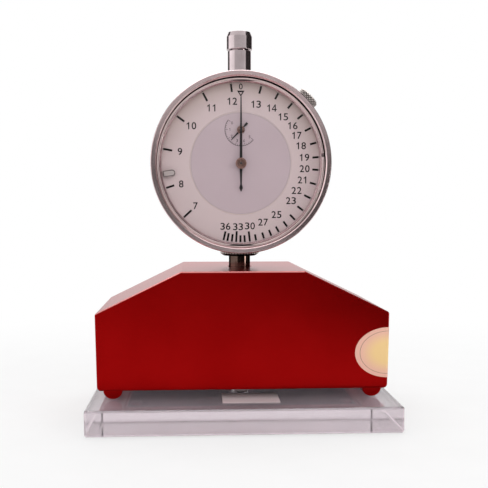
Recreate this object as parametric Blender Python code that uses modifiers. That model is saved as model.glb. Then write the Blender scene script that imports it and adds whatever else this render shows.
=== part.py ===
"""A screen mesh tension meter, standing on its clear setting plate.

A spring pushes the feeler bar under the red housing against the surface, and the dial gauge on top
shows how far the bar stands out. The housing's two feet and the bar stand on the plate.

Lengths are metres and angles are degrees. +Z is up, the dial looks along -Y, and the origin lies
under the middle of the plate. Pieces of the gauge are placed in the dial's own frame, where X runs
right, Y runs up and Z comes forward out of the dial, from the axis of the stem.
"""

import math

import bmesh
import bpy
from mathutils import Matrix, Vector

# Gaps and overruns
TOUCH_GAP = 0.0003
RUN_GAP = 0.0003
PIVOT_GAP = 0.00015
PRESS_GAP = 0.0001
CUT_OVERRUN = 0.001
FUSE_OVERLAP = 0.0005
MERGE_DISTANCE = 0.000005
EDGE_BREAK = 0.0003

# Directions in the dial's frame, as angles from +X, and the least turn that counts as an edge
UPWARDS = 90
DOWNWARDS = -90
EDGE_ANGLE = 50
MM_PER_METRE = 1000

# How finely round shapes are cut
LARGE_STEPS = 48
MEDIUM_STEPS = 24
INNER_STEPS = 16
SMALL_STEPS = 12
CORNER_STEPS = 4

# Setting plate and its label
PLATE_WIDTH = 0.100
PLATE_DEPTH = 0.078
PLATE_HEIGHT = 0.0084
PLATE_EDGE = 0.0006
LABEL_WIDTH = 0.0185
LABEL_DEPTH = 0.014
LABEL_THICKNESS = 0.00015
LABEL_OFFSET_X = 0.0023
LABEL_INSET = 0.008

# Housing
HOUSING_DEPTH = 0.050
HOUSING_TOP_HALF = 0.0199
HOUSING_SHOULDER_HALF = 0.0477
HOUSING_BASE_HALF = 0.0474
HOUSING_HEIGHT = 0.0386
SHOULDER_HEIGHT = 0.0251
FOOT_SPACING = 0.0846
FOOT_WIDTH = 0.0063
FOOT_HEIGHT = 0.0028
FOOT_STEPS = 8
SHOULDER_RADIUS = 0.0014
BASE_RADIUS = 0.0013
TOP_RADIUS = 0.0008
HOUSING_EDGE = 0.0004
TOP_WALL = 0.004
END_WALL = 0.004
SIDE_WALL = 0.0090
BOSS_RADIUS = 0.0085
BOSS_LENGTH = 0.0158
RIB_WIDTH = 0.010
RIB_HEIGHT = 0.010
POST_WIDTH = 0.007
POST_HEIGHT = 0.009

# Bottom cover and its screws
COVER_THICKNESS = 0.0012
COVER_SINK = 0.0003
COVER_SCREW_RADIUS = 0.001
COVER_HEAD_RADIUS = 0.002
COVER_HEAD_HEIGHT = 0.001
COVER_SCREW_LENGTH = 0.007

# Feeler bar, plunger, bush and spring
BAR_END_ROOM = 0.005
BAR_WIDTH = 0.006
BAR_HEIGHT = 0.0066
BAR_NOSE_RADIUS = 0.0024
BAR_SCREW_RADIUS = 0.00125
BAR_SCREW_LENGTH = 0.009
BAR_HEAD_RADIUS = 0.002
BAR_HEAD_HEIGHT = 0.0013
BAR_HEAD_SINK = 0.0009
SLOT_CLEARANCE = 0.0005
PLUNGER_RADIUS = 0.0025
PLUNGER_STEM_ROOM = 0.0040
PLUNGER_FLANGE_RADIUS = 0.006
PLUNGER_FLANGE_HEIGHT = 0.0016
BUSH_FLANGE_RADIUS = 0.006
BUSH_FLANGE_HEIGHT = 0.001
BUSH_LENGTH = 0.006
SPRING_WIRE = 0.0010
SPRING_RADIUS = 0.0046
SPRING_TURNS = 6.5
SPRING_TURN_POINTS = 10

# Stem, sleeve, cap, nut and set screw
STEM_RADIUS = 0.0037
STEM_LENGTH = 0.017
STEM_BORE_RADIUS = 0.0023
SPIGOT_RADIUS = 0.0030
SPIGOT_LENGTH = 0.0035
SLEEVE_RADIUS = 0.0040
SLEEVE_LENGTH = 0.0100
SLEEVE_MOUTH_RADIUS = 0.0032
SLEEVE_MOUTH_DEPTH = 0.0040
CAP_RADIUS = 0.00435
CAP_HEIGHT = 0.0059
CAP_TOP_THICKNESS = 0.002
CAP_EDGE = 0.0005
NUT_RADIUS = 0.0067
NUT_HEIGHT = 0.0028
NUT_TEETH = 44
KNURL_DEPTH = 0.00035
SET_SCREW_RADIUS = 0.002
SET_SCREW_HEIGHT = 0.0061
SET_SCREW_SINK = 0.0006
SET_SCREW_SOCKET_RADIUS = 0.00115
SET_SCREW_SOCKET_DEPTH = 0.0018
HEXAGON_SIDES = 6

# Dial gauge, measured forward from the axis of the stem
STEM_SHOW = 0.0069
BEZEL_RADIUS = 0.0299
BEZEL_FRONT = 0.0140
BEZEL_DEPTH = 0.0068
BEZEL_MOUTH_RADIUS = 0.0285
BEZEL_MOUTH_DEPTH = 0.0021
BEZEL_LEDGE_RADIUS = 0.0267
BEZEL_LEDGE_WIDTH = 0.0023
BEZEL_EDGE = 0.0006
BEZEL_SEAT_LIP = 0.0004
RETAINER_WIDTH = 0.0012
RETAINER_GROOVE = 0.0003
RETAINER_THICKNESS = 0.0005
RETAINER_GAP = 0.0012
RETAINER_GAP_ANGLE = 84
CRYSTAL_THICKNESS = 0.0008
DIAL_THICKNESS = 0.0004
DIAL_LIP = 0.0004
DIAL_CENTRE_RADIUS = 0.0170
DIAL_FOOT_RADIUS = 0.0008
DIAL_FOOT_PLACE = 0.0140
DIAL_HOLE_RADIUS = 0.0009
MARKER_WIDTH = 0.0021
MARKER_REACH = 0.0041
MARKER_THICKNESS = 0.0004
MARKER_LIFT = 0.0018
MARKER_ANGLE = 262

# Case and back cover
CASE_RADIUS = 0.0278
CASE_WALL = 0.0017
CASE_BACK = 0.0075
WEB_THICKNESS = 0.001
WEB_WIDTH = 0.004
BACK_COVER_RADIUS = 0.0273
BACK_COVER_THICKNESS = 0.0012
BACK_SCREW_COUNT = 4
BACK_SCREW_RADIUS = 0.0008
BACK_HEAD_RADIUS = 0.0015
BACK_HEAD_HEIGHT = 0.0008
BACK_SCREW_LENGTH = 0.004
BACK_SCREW_TURN = 45

# Bezel lock screw
LOCK_ANGLE = 46
LOCK_SETBACK = 0.0013
LOCK_HEAD_RADIUS = 0.00385
LOCK_HEAD_LENGTH = 0.0058
LOCK_TEETH = 26
LOCK_SHANK_RADIUS = 0.0015
LOCK_SHANK_LENGTH = 0.0040

# Movement: plate, bridge, arbors, wheels and rack
MOVEMENT_FIT = 0.0006
MOVEMENT_THICKNESS = 0.001
MOVEMENT_CLEARANCE = 0.0009
MOVEMENT_SCREW_COUNT = 3
MOVEMENT_SCREW_RADIUS = 0.0005
MOVEMENT_HEAD_RADIUS = 0.0009
MOVEMENT_HEAD_HEIGHT = 0.0004
MOVEMENT_SCREW_LENGTH = 0.0020
MOVEMENT_SCREW_TURN = 30
WHEEL_TEETH = 100
WHEEL_THICKNESS = 0.0005
WHEEL_CLEARANCE = 0.0009
CENTRE_PINION_TEETH = 10
CENTRE_PINION_THICKNESS = 0.0009
ARBOR_SPACING = 0.01106
ARBOR_RADIUS = 0.0004
RACK_PINION_TEETH = 16
RACK_PINION_THICKNESS = 0.0008
RACK_TRAVEL_PER_TURN = 0.010
RACK_LENGTH = 0.010
RACK_BACK = 0.0034
RACK_FOOT_LEFT = 0.0006
RACK_FOOT_FRONT = 0.0030
TOOTH_TIP_SHARE = 0.7
TOOTH_VALLEY_SHARE = 1.0
BRIDGE_THICKNESS = 0.0008
BRIDGE_ARM = 0.0135
BRIDGE_LEFT = 0.003
BRIDGE_RIGHT = 0.0011
BRIDGE_TAPER = 0.0003
PILLAR_RADIUS = 0.0010
PILLAR_STUB_RADIUS = 0.0005
PILLAR_SPACING = 0.0094
BRIDGE_SCREW_RADIUS = 0.0004
BRIDGE_SCREW_LENGTH = 0.0032
HAIRSPRING_WIRE = 0.00018
HAIRSPRING_INNER = 0.0008
HAIRSPRING_OUTER = 0.0042
HAIRSPRING_TURNS = 4
HAIRSPRING_TURN_POINTS = 12

# Spindle and contact
SPINDLE_RADIUS = 0.0020
SPINDLE_TOP_CLEARANCE = 0.0020
CONTACT_RADIUS = 0.0015
CONTACT_LENGTH = 0.005

# Hands
MAIN_HAND_TIP = 0.0219
MAIN_HAND_TAIL = 0.0093
MAIN_HAND_TIP_HALF = 0.00014
MAIN_HAND_ROOT_HALF = 0.00050
MAIN_HAND_BOSS = 0.0012
MAIN_HAND_TAIL_HALF = 0.00028
MAIN_HAND_DIAMOND_HALF = 0.00062
SMALL_HAND_TIP = 0.0048
SMALL_HAND_TAIL = 0.0031
SMALL_HAND_TIP_HALF = 0.00012
SMALL_HAND_ROOT_HALF = 0.00030
SMALL_HAND_BOSS = 0.0009
SMALL_HAND_TAIL_HALF = 0.00020
SMALL_HAND_DIAMOND_HALF = 0.00034
SMALL_HAND_ANGLE = 224
HAND_THICKNESS = 0.00025
DIAMOND_RISE_SHARE = 2.0
MAIN_HUB_RADIUS = 0.00182
MAIN_HUB_HEIGHT = 0.00065
SMALL_HUB_RADIUS = 0.0013
SMALL_HUB_HEIGHT = 0.00035

# Oval seal on the housing's right front edge
SEAL_HALF_WIDTH = 0.0109
SEAL_HALF_HEIGHT = 0.0083
SEAL_HEIGHT = 0.0119
SEAL_THICKNESS = 0.00012
SEAL_STEPS = 16

# Heights above the plate's underside
FOOT_BOTTOM = PLATE_HEIGHT + TOUCH_GAP
HOUSING_BASE = FOOT_BOTTOM + FOOT_HEIGHT
HOUSING_TOP = HOUSING_BASE + HOUSING_HEIGHT
SHOULDER = HOUSING_BASE + SHOULDER_HEIGHT
CEILING = HOUSING_TOP - TOP_WALL
BOSS_BOTTOM = CEILING - BOSS_LENGTH
COVER_BOTTOM = HOUSING_BASE + COVER_SINK
COVER_TOP = COVER_BOTTOM + COVER_THICKNESS
POST_BOTTOM = COVER_TOP + TOUCH_GAP
BAR_BOTTOM = FOOT_BOTTOM
BAR_TOP = BAR_BOTTOM + BAR_HEIGHT
PLUNGER_BOTTOM = BAR_TOP + TOUCH_GAP
PLUNGER_SEAT = PLUNGER_BOTTOM + PLUNGER_FLANGE_HEIGHT
BUSH_TOP = BOSS_BOTTOM - TOUCH_GAP
BUSH_SEAT = BUSH_TOP - BUSH_FLANGE_HEIGHT
STEM_TOP = HOUSING_TOP + STEM_SHOW
STEM_BOTTOM = STEM_TOP - STEM_LENGTH
PLUNGER_TOP = STEM_BOTTOM - PLUNGER_STEM_ROOM
GAUGE_HEIGHT = STEM_TOP + TOUCH_GAP + CASE_RADIUS
SLEEVE_BOTTOM = GAUGE_HEIGHT + CASE_RADIUS + TOUCH_GAP
SLEEVE_TOP = SLEEVE_BOTTOM + SLEEVE_LENGTH
CAP_BOTTOM = SLEEVE_TOP + TOUCH_GAP
CAP_TOP = CAP_BOTTOM + CAP_HEIGHT
CONTACT_BOTTOM = PLUNGER_TOP + TOUCH_GAP
SPINDLE_BOTTOM = CONTACT_BOTTOM + CONTACT_LENGTH + TOUCH_GAP
SPINDLE_TOP = CAP_TOP - CAP_TOP_THICKNESS - SPINDLE_TOP_CLEARANCE

# Places along the dial's own Z, from the front of the gauge to its back
LEDGE_FRONT = BEZEL_FRONT - BEZEL_MOUTH_DEPTH
LEDGE_REAR = LEDGE_FRONT - BEZEL_LEDGE_WIDTH
CRYSTAL_REAR = LEDGE_FRONT + TOUCH_GAP
CRYSTAL_FRONT = CRYSTAL_REAR + CRYSTAL_THICKNESS
RETAINER_REAR = CRYSTAL_FRONT + TOUCH_GAP
DIAL_FRONT = LEDGE_REAR - TOUCH_GAP
DIAL_REAR = DIAL_FRONT - DIAL_THICKNESS
SEAT_REAR = DIAL_REAR - BEZEL_SEAT_LIP
BEZEL_REAR = BEZEL_FRONT - BEZEL_DEPTH
CASE_FRONT = SEAT_REAR - TOUCH_GAP
MOVEMENT_FRONT = DIAL_REAR - MOVEMENT_CLEARANCE
MOVEMENT_REAR = MOVEMENT_FRONT - MOVEMENT_THICKNESS
WEB_FRONT = MOVEMENT_REAR - TOUCH_GAP
WEB_REAR = WEB_FRONT - WEB_THICKNESS
WHEEL_FRONT = MOVEMENT_REAR - WHEEL_CLEARANCE
WHEEL_REAR = WHEEL_FRONT - WHEEL_THICKNESS
CENTRE_PINION_REAR = (WHEEL_FRONT + WHEEL_REAR - CENTRE_PINION_THICKNESS) / 2
RACK_FRONT = WHEEL_REAR - RUN_GAP
RACK_PINION_REAR = RACK_FRONT - RACK_PINION_THICKNESS
BRIDGE_FRONT = RACK_PINION_REAR - RUN_GAP
BRIDGE_REAR = BRIDGE_FRONT - BRIDGE_THICKNESS
SMALL_HAND_REAR = DIAL_FRONT + RUN_GAP
SMALL_HUB_REAR = SMALL_HAND_REAR + HAND_THICKNESS + PRESS_GAP
MAIN_HAND_REAR = SMALL_HUB_REAR + SMALL_HUB_HEIGHT + RUN_GAP
MAIN_HUB_REAR = MAIN_HAND_REAR + HAND_THICKNESS + PRESS_GAP

# Sizes that follow from their neighbours
BAR_LENGTH = HOUSING_DEPTH - 2 * (END_WALL + BAR_END_ROOM)
DIAL_RADIUS = BEZEL_LEDGE_RADIUS + DIAL_LIP
CASE_BORE = CASE_RADIUS - CASE_WALL
WEB_RADIUS = CASE_BORE - WEB_WIDTH
WEB_MIDDLE = CASE_BORE - WEB_WIDTH / 2
MOVEMENT_RADIUS = CASE_BORE - MOVEMENT_FIT
RETAINER_RADIUS = BEZEL_MOUTH_RADIUS - RETAINER_GROOVE
CRYSTAL_RADIUS = BEZEL_MOUTH_RADIUS - TOUCH_GAP
ARBOR_HOLE = ARBOR_RADIUS + PIVOT_GAP
CENTRE_PITCH = ARBOR_SPACING * CENTRE_PINION_TEETH / (WHEEL_TEETH + CENTRE_PINION_TEETH)
WHEEL_PITCH = ARBOR_SPACING - CENTRE_PITCH
WHEEL_MODULE = 2 * WHEEL_PITCH / WHEEL_TEETH
RACK_PITCH = RACK_TRAVEL_PER_TURN / math.tau
RACK_TOOTH = RACK_TRAVEL_PER_TURN / RACK_PINION_TEETH
RACK_MODULE = RACK_TOOTH / math.pi


def new_collection(name):
    """A collection of that name, linked to the scene."""
    collection = bpy.data.collections.new(name)
    bpy.context.scene.collection.children.link(collection)
    return collection


def clear_scene():
    """Removes every object that the file opens with."""
    for obj in list(bpy.data.objects):
        bpy.data.objects.remove(obj)


def finish(name, colour, roughness, metallic=0.0, alpha=1.0):
    """A Principled BSDF material."""
    material = bpy.data.materials.new(name)
    material.use_nodes = True
    shader = material.node_tree.nodes["Principled BSDF"]
    shader.inputs["Base Color"].default_value = (*colour, 1.0)
    shader.inputs["Roughness"].default_value = roughness
    shader.inputs["Metallic"].default_value = metallic
    shader.inputs["Alpha"].default_value = alpha
    return material


clear_scene()
PARTS = new_collection("screen_mesh_tension_meter")
CUTTERS = new_collection("cutters")

RED = finish("red_anodised", (0.42, 0.012, 0.012), 0.35, 0.6)
CLEAR = finish("clear_plate", (0.86, 0.84, 0.86), 0.05, 0.0, 0.35)
LABEL = finish("label_paper", (0.86, 0.82, 0.82), 0.6)
GOLD = finish("seal_paper", (0.78, 0.58, 0.36), 0.45)
SATIN = finish("satin_chrome", (0.48, 0.44, 0.45), 0.32, 1.0)
BRIGHT = finish("bright_steel", (0.62, 0.58, 0.59), 0.2, 1.0)
GLASS = finish("crystal", (0.95, 0.95, 0.95), 0.02, 0.0, 0.2)
DIAL = finish("dial_white", (0.62, 0.56, 0.56), 0.5)
DIAL_GREY = finish("dial_grey", (0.52, 0.47, 0.50), 0.5)
BLACK = finish("hand_black", (0.01, 0.01, 0.01), 0.4)
HUB = finish("hub_bronze", (0.30, 0.19, 0.15), 0.35, 0.8)
BRASS = finish("brass", (0.62, 0.46, 0.20), 0.3, 1.0)
DARK = finish("dark_cover", (0.05, 0.045, 0.045), 0.5, 0.4)
SPRING_STEEL = finish("spring_steel", (0.35, 0.35, 0.36), 0.3, 1.0)


def place(obj, material, parent, location=(0, 0, 0)):
    """Gives an object its material, its parent and its place, in the part's collection."""
    PARTS.objects.link(obj)
    obj.data.materials.append(material)
    obj.parent = parent
    obj.location = location
    return obj


def frame(name, parent=None, location=(0, 0, 0), rotation=(0, 0, 0)):
    """An empty that carries pieces, and stands on their joint's axis where they move."""
    empty = bpy.data.objects.new(name, None)
    PARTS.objects.link(empty)
    empty.parent = parent
    empty.location = location
    empty.rotation_euler = rotation
    return empty


def turned(name, profile, material, parent=None, steps=MEDIUM_STEPS, solid=False):
    """A turned shape about its own Z. The profile runs down its outer side.

    A solid one starts and ends on the axis, and any other profile is a closed loop.
    """
    mesh = bpy.data.meshes.new(name)
    edges = [(i, i + 1) for i in range(len(profile) - 1)]
    if not solid:
        edges.append((len(profile) - 1, 0))
    mesh.from_pydata([(radius, 0, height) for radius, height in profile], edges, [])
    obj = place(bpy.data.objects.new(name, mesh), material, parent)
    screw = obj.modifiers.new("Turn", "SCREW")
    screw.steps = steps
    screw.render_steps = steps
    screw.use_merge_vertices = True
    screw.merge_threshold = MERGE_DISTANCE
    screw.use_smooth_shade = True
    return obj


def disc(name, radius, low, high, material, parent=None, steps=MEDIUM_STEPS):
    """A plain round solid from low to high along its own Z."""
    profile = [(0, high), (radius, high), (radius, low), (0, low)]
    return turned(name, profile, material, parent, steps, solid=True)


def ring(name, bore, radius, low, high, material, parent=None, steps=MEDIUM_STEPS):
    """A plain ring from low to high along its own Z."""
    profile = [(bore, high), (radius, high), (radius, low), (bore, low)]
    return turned(name, profile, material, parent, steps)


def block(name, low, high, material, parent=None):
    """A box between two corners."""
    mesh = bpy.data.meshes.new(name)
    solid = bmesh.new()
    size = Vector(high) - Vector(low)
    middle = (Vector(high) + Vector(low)) / 2
    bmesh.ops.create_cube(solid, size=1, matrix=Matrix.Translation(middle) @ Matrix.Diagonal((*size, 1)))
    solid.to_mesh(mesh)
    solid.free()
    return place(bpy.data.objects.new(name, mesh), material, parent)


def mesh_of(curve_object):
    """The welded mesh that a filled or bevelled curve makes."""
    bpy.context.view_layer.update()
    evaluated = curve_object.evaluated_get(bpy.context.evaluated_depsgraph_get())
    mesh = bpy.data.meshes.new_from_object(evaluated)
    solid = bmesh.new()
    solid.from_mesh(mesh)
    bmesh.ops.remove_doubles(solid, verts=solid.verts, dist=MERGE_DISTANCE)
    bmesh.ops.recalc_face_normals(solid, faces=solid.faces)
    solid.to_mesh(mesh)
    solid.free()
    curve = curve_object.data
    bpy.data.objects.remove(curve_object)
    bpy.data.curves.remove(curve)
    return mesh


def outlined(name, loops, low, high, material, parent=None):
    """A flat outline with holes, from low to high along its own Z."""
    curve = bpy.data.curves.new(name, "CURVE")
    curve.dimensions = "2D"
    curve.fill_mode = "BOTH"
    curve.extrude = (high - low) / 2
    for loop in loops:
        spline = curve.splines.new("POLY")
        spline.points.add(len(loop) - 1)
        spline.use_cyclic_u = True
        for point, (x, y) in zip(spline.points, loop):
            point.co = (x, y, 0, 1)
    guide = bpy.data.objects.new(name + "_outline", curve)
    PARTS.objects.link(guide)
    mesh = mesh_of(guide)
    mesh.name = name
    return place(bpy.data.objects.new(name, mesh), material, parent, (0, 0, (high + low) / 2))


def wire(name, points, thickness, material, parent=None):
    """A round wire along points, with closed ends."""
    curve = bpy.data.curves.new(name, "CURVE")
    curve.dimensions = "3D"
    curve.bevel_depth = thickness / 2
    curve.bevel_resolution = 1
    curve.use_fill_caps = True
    spline = curve.splines.new("POLY")
    spline.points.add(len(points) - 1)
    for point, place_on_wire in zip(spline.points, points):
        point.co = (*place_on_wire, 1)
    guide = bpy.data.objects.new(name + "_path", curve)
    PARTS.objects.link(guide)
    mesh = mesh_of(guide)
    mesh.name = name
    return place(bpy.data.objects.new(name, mesh), material, parent)


def combine(target, tool, operation):
    """Joins a tool to the target or cuts it away, and keeps the tool as a guide."""
    PARTS.objects.unlink(tool)
    CUTTERS.objects.link(tool)
    tool.hide_render = True
    tool.display_type = "WIRE"
    modifier = target.modifiers.new(tool.name, "BOOLEAN")
    modifier.operation = operation
    modifier.solver = "EXACT"
    modifier.object = tool


def cut(target, tool):
    """Cuts the tool away from the target."""
    combine(target, tool, "DIFFERENCE")


def join(target, tool):
    """Makes the tool part of the target."""
    combine(target, tool, "UNION")


def break_edges(obj, width, segments=1):
    """Bevels an object's sharp edges."""
    bevel = obj.modifiers.new("Edges", "BEVEL")
    bevel.width = width
    bevel.segments = segments
    bevel.limit_method = "ANGLE"
    bevel.angle_limit = math.radians(EDGE_ANGLE)


def circle(radius, count, centre=(0, 0)):
    """The points of a round loop."""
    angles = [math.tau * i / count for i in range(count)]
    return [(centre[0] + radius * math.cos(a), centre[1] + radius * math.sin(a)) for a in angles]


def arc(radius, start, end, count):
    """Points of an arc, with its angles counted clockwise from straight up."""
    angles = [math.radians(start + (end - start) * i / count) for i in range(count + 1)]
    return [(radius * math.sin(a), radius * math.cos(a)) for a in angles]


def teeth(count, tip, valley, turn=0.0):
    """A loop with pointed teeth, whose first tip stands at the angle turn from +X."""
    loop = []
    for i in range(count):
        for radius, half in ((tip, 0.0), (valley, 0.5)):
            angle = math.radians(turn) + math.tau * (i + half) / count
            loop.append((radius * math.cos(angle), radius * math.sin(angle)))
    return loop


def rounded(corners):
    """A loop through corners given as x, y and corner radius."""
    points = []
    for i, (x, y, radius) in enumerate(corners):
        here = Vector((x, y))
        if not radius:
            points.append(tuple(here))
            continue
        before = (Vector(corners[i - 1][:2]) - here).normalized()
        after = (Vector(corners[(i + 1) % len(corners)][:2]) - here).normalized()
        half = before.angle(after) / 2
        centre = here + (before + after).normalized() * radius / math.sin(half)
        first = here + before * radius / math.tan(half) - centre
        last = here + after * radius / math.tan(half) - centre
        for step in range(CORNER_STEPS + 1):
            spoke = first.lerp(last, step / CORNER_STEPS).normalized() * radius
            points.append(tuple(centre + spoke))
    return points


def mirrored(half):
    """A whole loop of corners from its right half, which runs from the bottom to the top."""
    return half + [(-x, y, radius) for x, y, radius in reversed(half)]


def screw(name, shank, head, head_height, length, material, parent, at, turn=(0, 0, 0)):
    """A round-headed screw. Its head stands on its own XY plane, and its shank runs down from it."""
    profile = [
        (0, head_height),
        (head - EDGE_BREAK, head_height),
        (head, head_height - EDGE_BREAK),
        (head, 0),
        (shank, 0),
        (shank, -length),
        (0, -length),
    ]
    obj = turned(name, profile, material, parent, SMALL_STEPS, solid=True)
    obj.location = at
    obj.rotation_euler = turn
    return obj


FRONT = frame("front_frame", None, (0, 0, 0), (math.pi / 2, 0, 0))
GAUGE = frame("dial_frame", None, (0, 0, GAUGE_HEIGHT), (math.pi / 2, 0, 0))
FEELER = frame("feeler_axis")
BEZEL = frame("bezel_axis", GAUGE)
MARKER = frame("marker_axis", GAUGE, (0, 0, 0), (0, 0, -math.radians(MARKER_ANGLE)))
POINTER = frame("pointer_axis", GAUGE)
COUNTER = frame("counter_axis", GAUGE, (0, ARBOR_SPACING, 0))
TAKE_UP = frame("take_up_axis", GAUGE, (0, -ARBOR_SPACING, 0))
LOCK = frame(
    "lock_axis",
    GAUGE,
    (0, 0, -LOCK_SETBACK),
    (-math.pi / 2, 0, -math.radians(LOCK_ANGLE)),
)


def make_plate():
    """The clear setting plate and the bare label on it."""
    half_width = PLATE_WIDTH / 2
    half_depth = PLATE_DEPTH / 2
    plate = block(
        "setting_plate", (-half_width, -half_depth, 0), (half_width, half_depth, PLATE_HEIGHT), CLEAR
    )
    break_edges(plate, PLATE_EDGE)
    left = LABEL_OFFSET_X - LABEL_WIDTH / 2
    front = LABEL_INSET - half_depth
    base = PLATE_HEIGHT + PRESS_GAP
    low = (left, front, base)
    high = (left + LABEL_WIDTH, front + LABEL_DEPTH, base + LABEL_THICKNESS)
    block("plate_label", low, high, LABEL)


def foot_loop(side):
    """The section of the round-bottomed foot under one end of the housing."""
    middle = side * FOOT_SPACING / 2
    half = FOOT_WIDTH / 2
    loop = [(middle + half, HOUSING_BASE + FUSE_OVERLAP), (middle - half, HOUSING_BASE + FUSE_OVERLAP)]
    for step in range(FOOT_STEPS + 1):
        angle = math.pi * step / FOOT_STEPS
        loop.append((middle - half * math.cos(angle), HOUSING_BASE - FOOT_HEIGHT * math.sin(angle)))
    return loop


def cavity_corners():
    """The hollow under the housing's top and slopes, as the right half of its section."""
    slope = math.atan2(HOUSING_TOP - SHOULDER, HOUSING_SHOULDER_HALF - HOUSING_TOP_HALF)
    top_half = HOUSING_TOP_HALF - TOP_WALL * math.tan(slope / 2)
    base_half = HOUSING_BASE_HALF - SIDE_WALL
    shoulder = CEILING - (base_half - top_half) * math.tan(slope)
    return [
        (base_half, HOUSING_BASE - FOOT_HEIGHT - CUT_OVERRUN, 0),
        (base_half, shoulder, 0),
        (top_half, CEILING, 0),
    ]


def make_housing():
    """The red housing: outer shell, feet, stem boss, rib and screw posts."""
    half_depth = HOUSING_DEPTH / 2
    inner_depth = half_depth - END_WALL
    half = [
        (HOUSING_BASE_HALF, HOUSING_BASE, BASE_RADIUS),
        (HOUSING_SHOULDER_HALF, SHOULDER, SHOULDER_RADIUS),
        (HOUSING_TOP_HALF, HOUSING_TOP, TOP_RADIUS),
    ]
    housing = outlined("housing", [rounded(mirrored(half))], -half_depth, half_depth, RED, FRONT)
    break_edges(housing, HOUSING_EDGE)
    foot_depth = half_depth - HOUSING_EDGE
    for side in (-1, 1):
        join(housing, outlined("foot_shape", [foot_loop(side)], -foot_depth, foot_depth, RED, FRONT))
    cavity = rounded(mirrored(cavity_corners()))
    cut(housing, outlined("cavity_cutter", [cavity], -inner_depth, inner_depth, RED, FRONT))
    roof = CEILING + FUSE_OVERLAP
    join(housing, disc("boss_shape", BOSS_RADIUS, BOSS_BOTTOM, roof, RED))
    rib_low = (-RIB_WIDTH / 2, 0, CEILING - RIB_HEIGHT)
    join(housing, block("rib_shape", rib_low, (RIB_WIDTH / 2, inner_depth + FUSE_OVERLAP, roof), RED))
    cavity_half = HOUSING_BASE_HALF - SIDE_WALL
    for x, y in post_places():
        side = math.copysign(1, x)
        end = math.copysign(1, y)
        near = (side * (cavity_half - POST_WIDTH), end * (inner_depth - POST_WIDTH))
        far = (side * (cavity_half + FUSE_OVERLAP), end * (inner_depth + FUSE_OVERLAP))
        low = (min(near[0], far[0]), min(near[1], far[1]), POST_BOTTOM)
        high = (max(near[0], far[0]), max(near[1], far[1]), POST_BOTTOM + POST_HEIGHT)
        join(housing, block("post_shape", low, high, RED))
    bore = STEM_RADIUS + RUN_GAP
    top = HOUSING_TOP + CUT_OVERRUN
    cut(housing, disc("stem_cutter", bore, BOSS_BOTTOM - CUT_OVERRUN, top, RED))
    side_bore = disc(
        "set_screw_cutter", SET_SCREW_RADIUS + TOUCH_GAP, 0, half_depth + CUT_OVERRUN, RED, steps=SMALL_STEPS
    )
    side_bore.location = (0, 0, HOUSING_TOP - SET_SCREW_HEIGHT)
    side_bore.rotation_euler = (-math.pi / 2, 0, 0)
    cut(housing, side_bore)
    for x, y in post_places():
        hole_top = COVER_BOTTOM + COVER_SCREW_LENGTH
        hole = disc(
            "post_cutter", COVER_SCREW_RADIUS + TOUCH_GAP, HOUSING_BASE, hole_top, RED, steps=SMALL_STEPS
        )
        hole.location = (x, y, 0)
        cut(housing, hole)


def post_places():
    """The middles of the four screw posts."""
    x = HOUSING_BASE_HALF - SIDE_WALL - POST_WIDTH / 2
    y = HOUSING_DEPTH / 2 - END_WALL - POST_WIDTH / 2
    return [(x, y), (-x, y), (-x, -y), (x, -y)]


def make_cover():
    """The bottom cover with the feeler bar's slot, and its screws."""
    half_width = HOUSING_BASE_HALF - SIDE_WALL - TOUCH_GAP
    half_depth = HOUSING_DEPTH / 2 - END_WALL - TOUCH_GAP
    slot_width = BAR_WIDTH / 2 + SLOT_CLEARANCE
    slot_length = BAR_LENGTH / 2 + SLOT_CLEARANCE
    edge = [(half_width, half_depth), (-half_width, half_depth)]
    edge += [(-half_width, -half_depth), (half_width, -half_depth)]
    slot = [(slot_width, slot_length), (-slot_width, slot_length)]
    slot += [(-slot_width, -slot_length), (slot_width, -slot_length)]
    holes = [circle(COVER_SCREW_RADIUS + TOUCH_GAP, SMALL_STEPS, at) for at in post_places()]
    outlined("bottom_cover", [edge, slot] + holes, COVER_BOTTOM, COVER_TOP, DARK)
    for number, (x, y) in enumerate(post_places(), 1):
        screw(
            f"cover_screw_{number}",
            COVER_SCREW_RADIUS,
            COVER_HEAD_RADIUS,
            COVER_HEAD_HEIGHT,
            COVER_SCREW_LENGTH - TOUCH_GAP,
            BRIGHT,
            None,
            (x, y, COVER_BOTTOM - TOUCH_GAP),
            (math.pi, 0, 0),
        )


def make_seal():
    """The bare oval seal that folds round the housing's right front edge."""
    height = HOUSING_BASE + SEAL_HEIGHT
    stand_off = PRESS_GAP + SEAL_THICKNESS
    half = []
    for step in range(SEAL_STEPS + 1):
        angle = math.pi * step / SEAL_STEPS
        half.append((-SEAL_HALF_WIDTH * math.sin(angle), SEAL_HALF_HEIGHT * math.cos(angle)))
    half += [(stand_off, -SEAL_HALF_HEIGHT), (stand_off, SEAL_HALF_HEIGHT)]
    seal = outlined("oval_seal", [half], 0, SEAL_THICKNESS, GOLD)
    seal.location = (HOUSING_SHOULDER_HALF, -HOUSING_DEPTH / 2 - PRESS_GAP - SEAL_THICKNESS / 2, height)
    seal.rotation_euler = (math.pi / 2, 0, 0)
    side = outlined("seal_side_shape", [[(-x, y) for x, y in half]], 0, SEAL_THICKNESS, GOLD)
    side.location = (HOUSING_SHOULDER_HALF + PRESS_GAP + SEAL_THICKNESS / 2, -HOUSING_DEPTH / 2, height)
    side.rotation_euler = (math.pi / 2, 0, math.pi / 2)
    join(seal, side)


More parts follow.
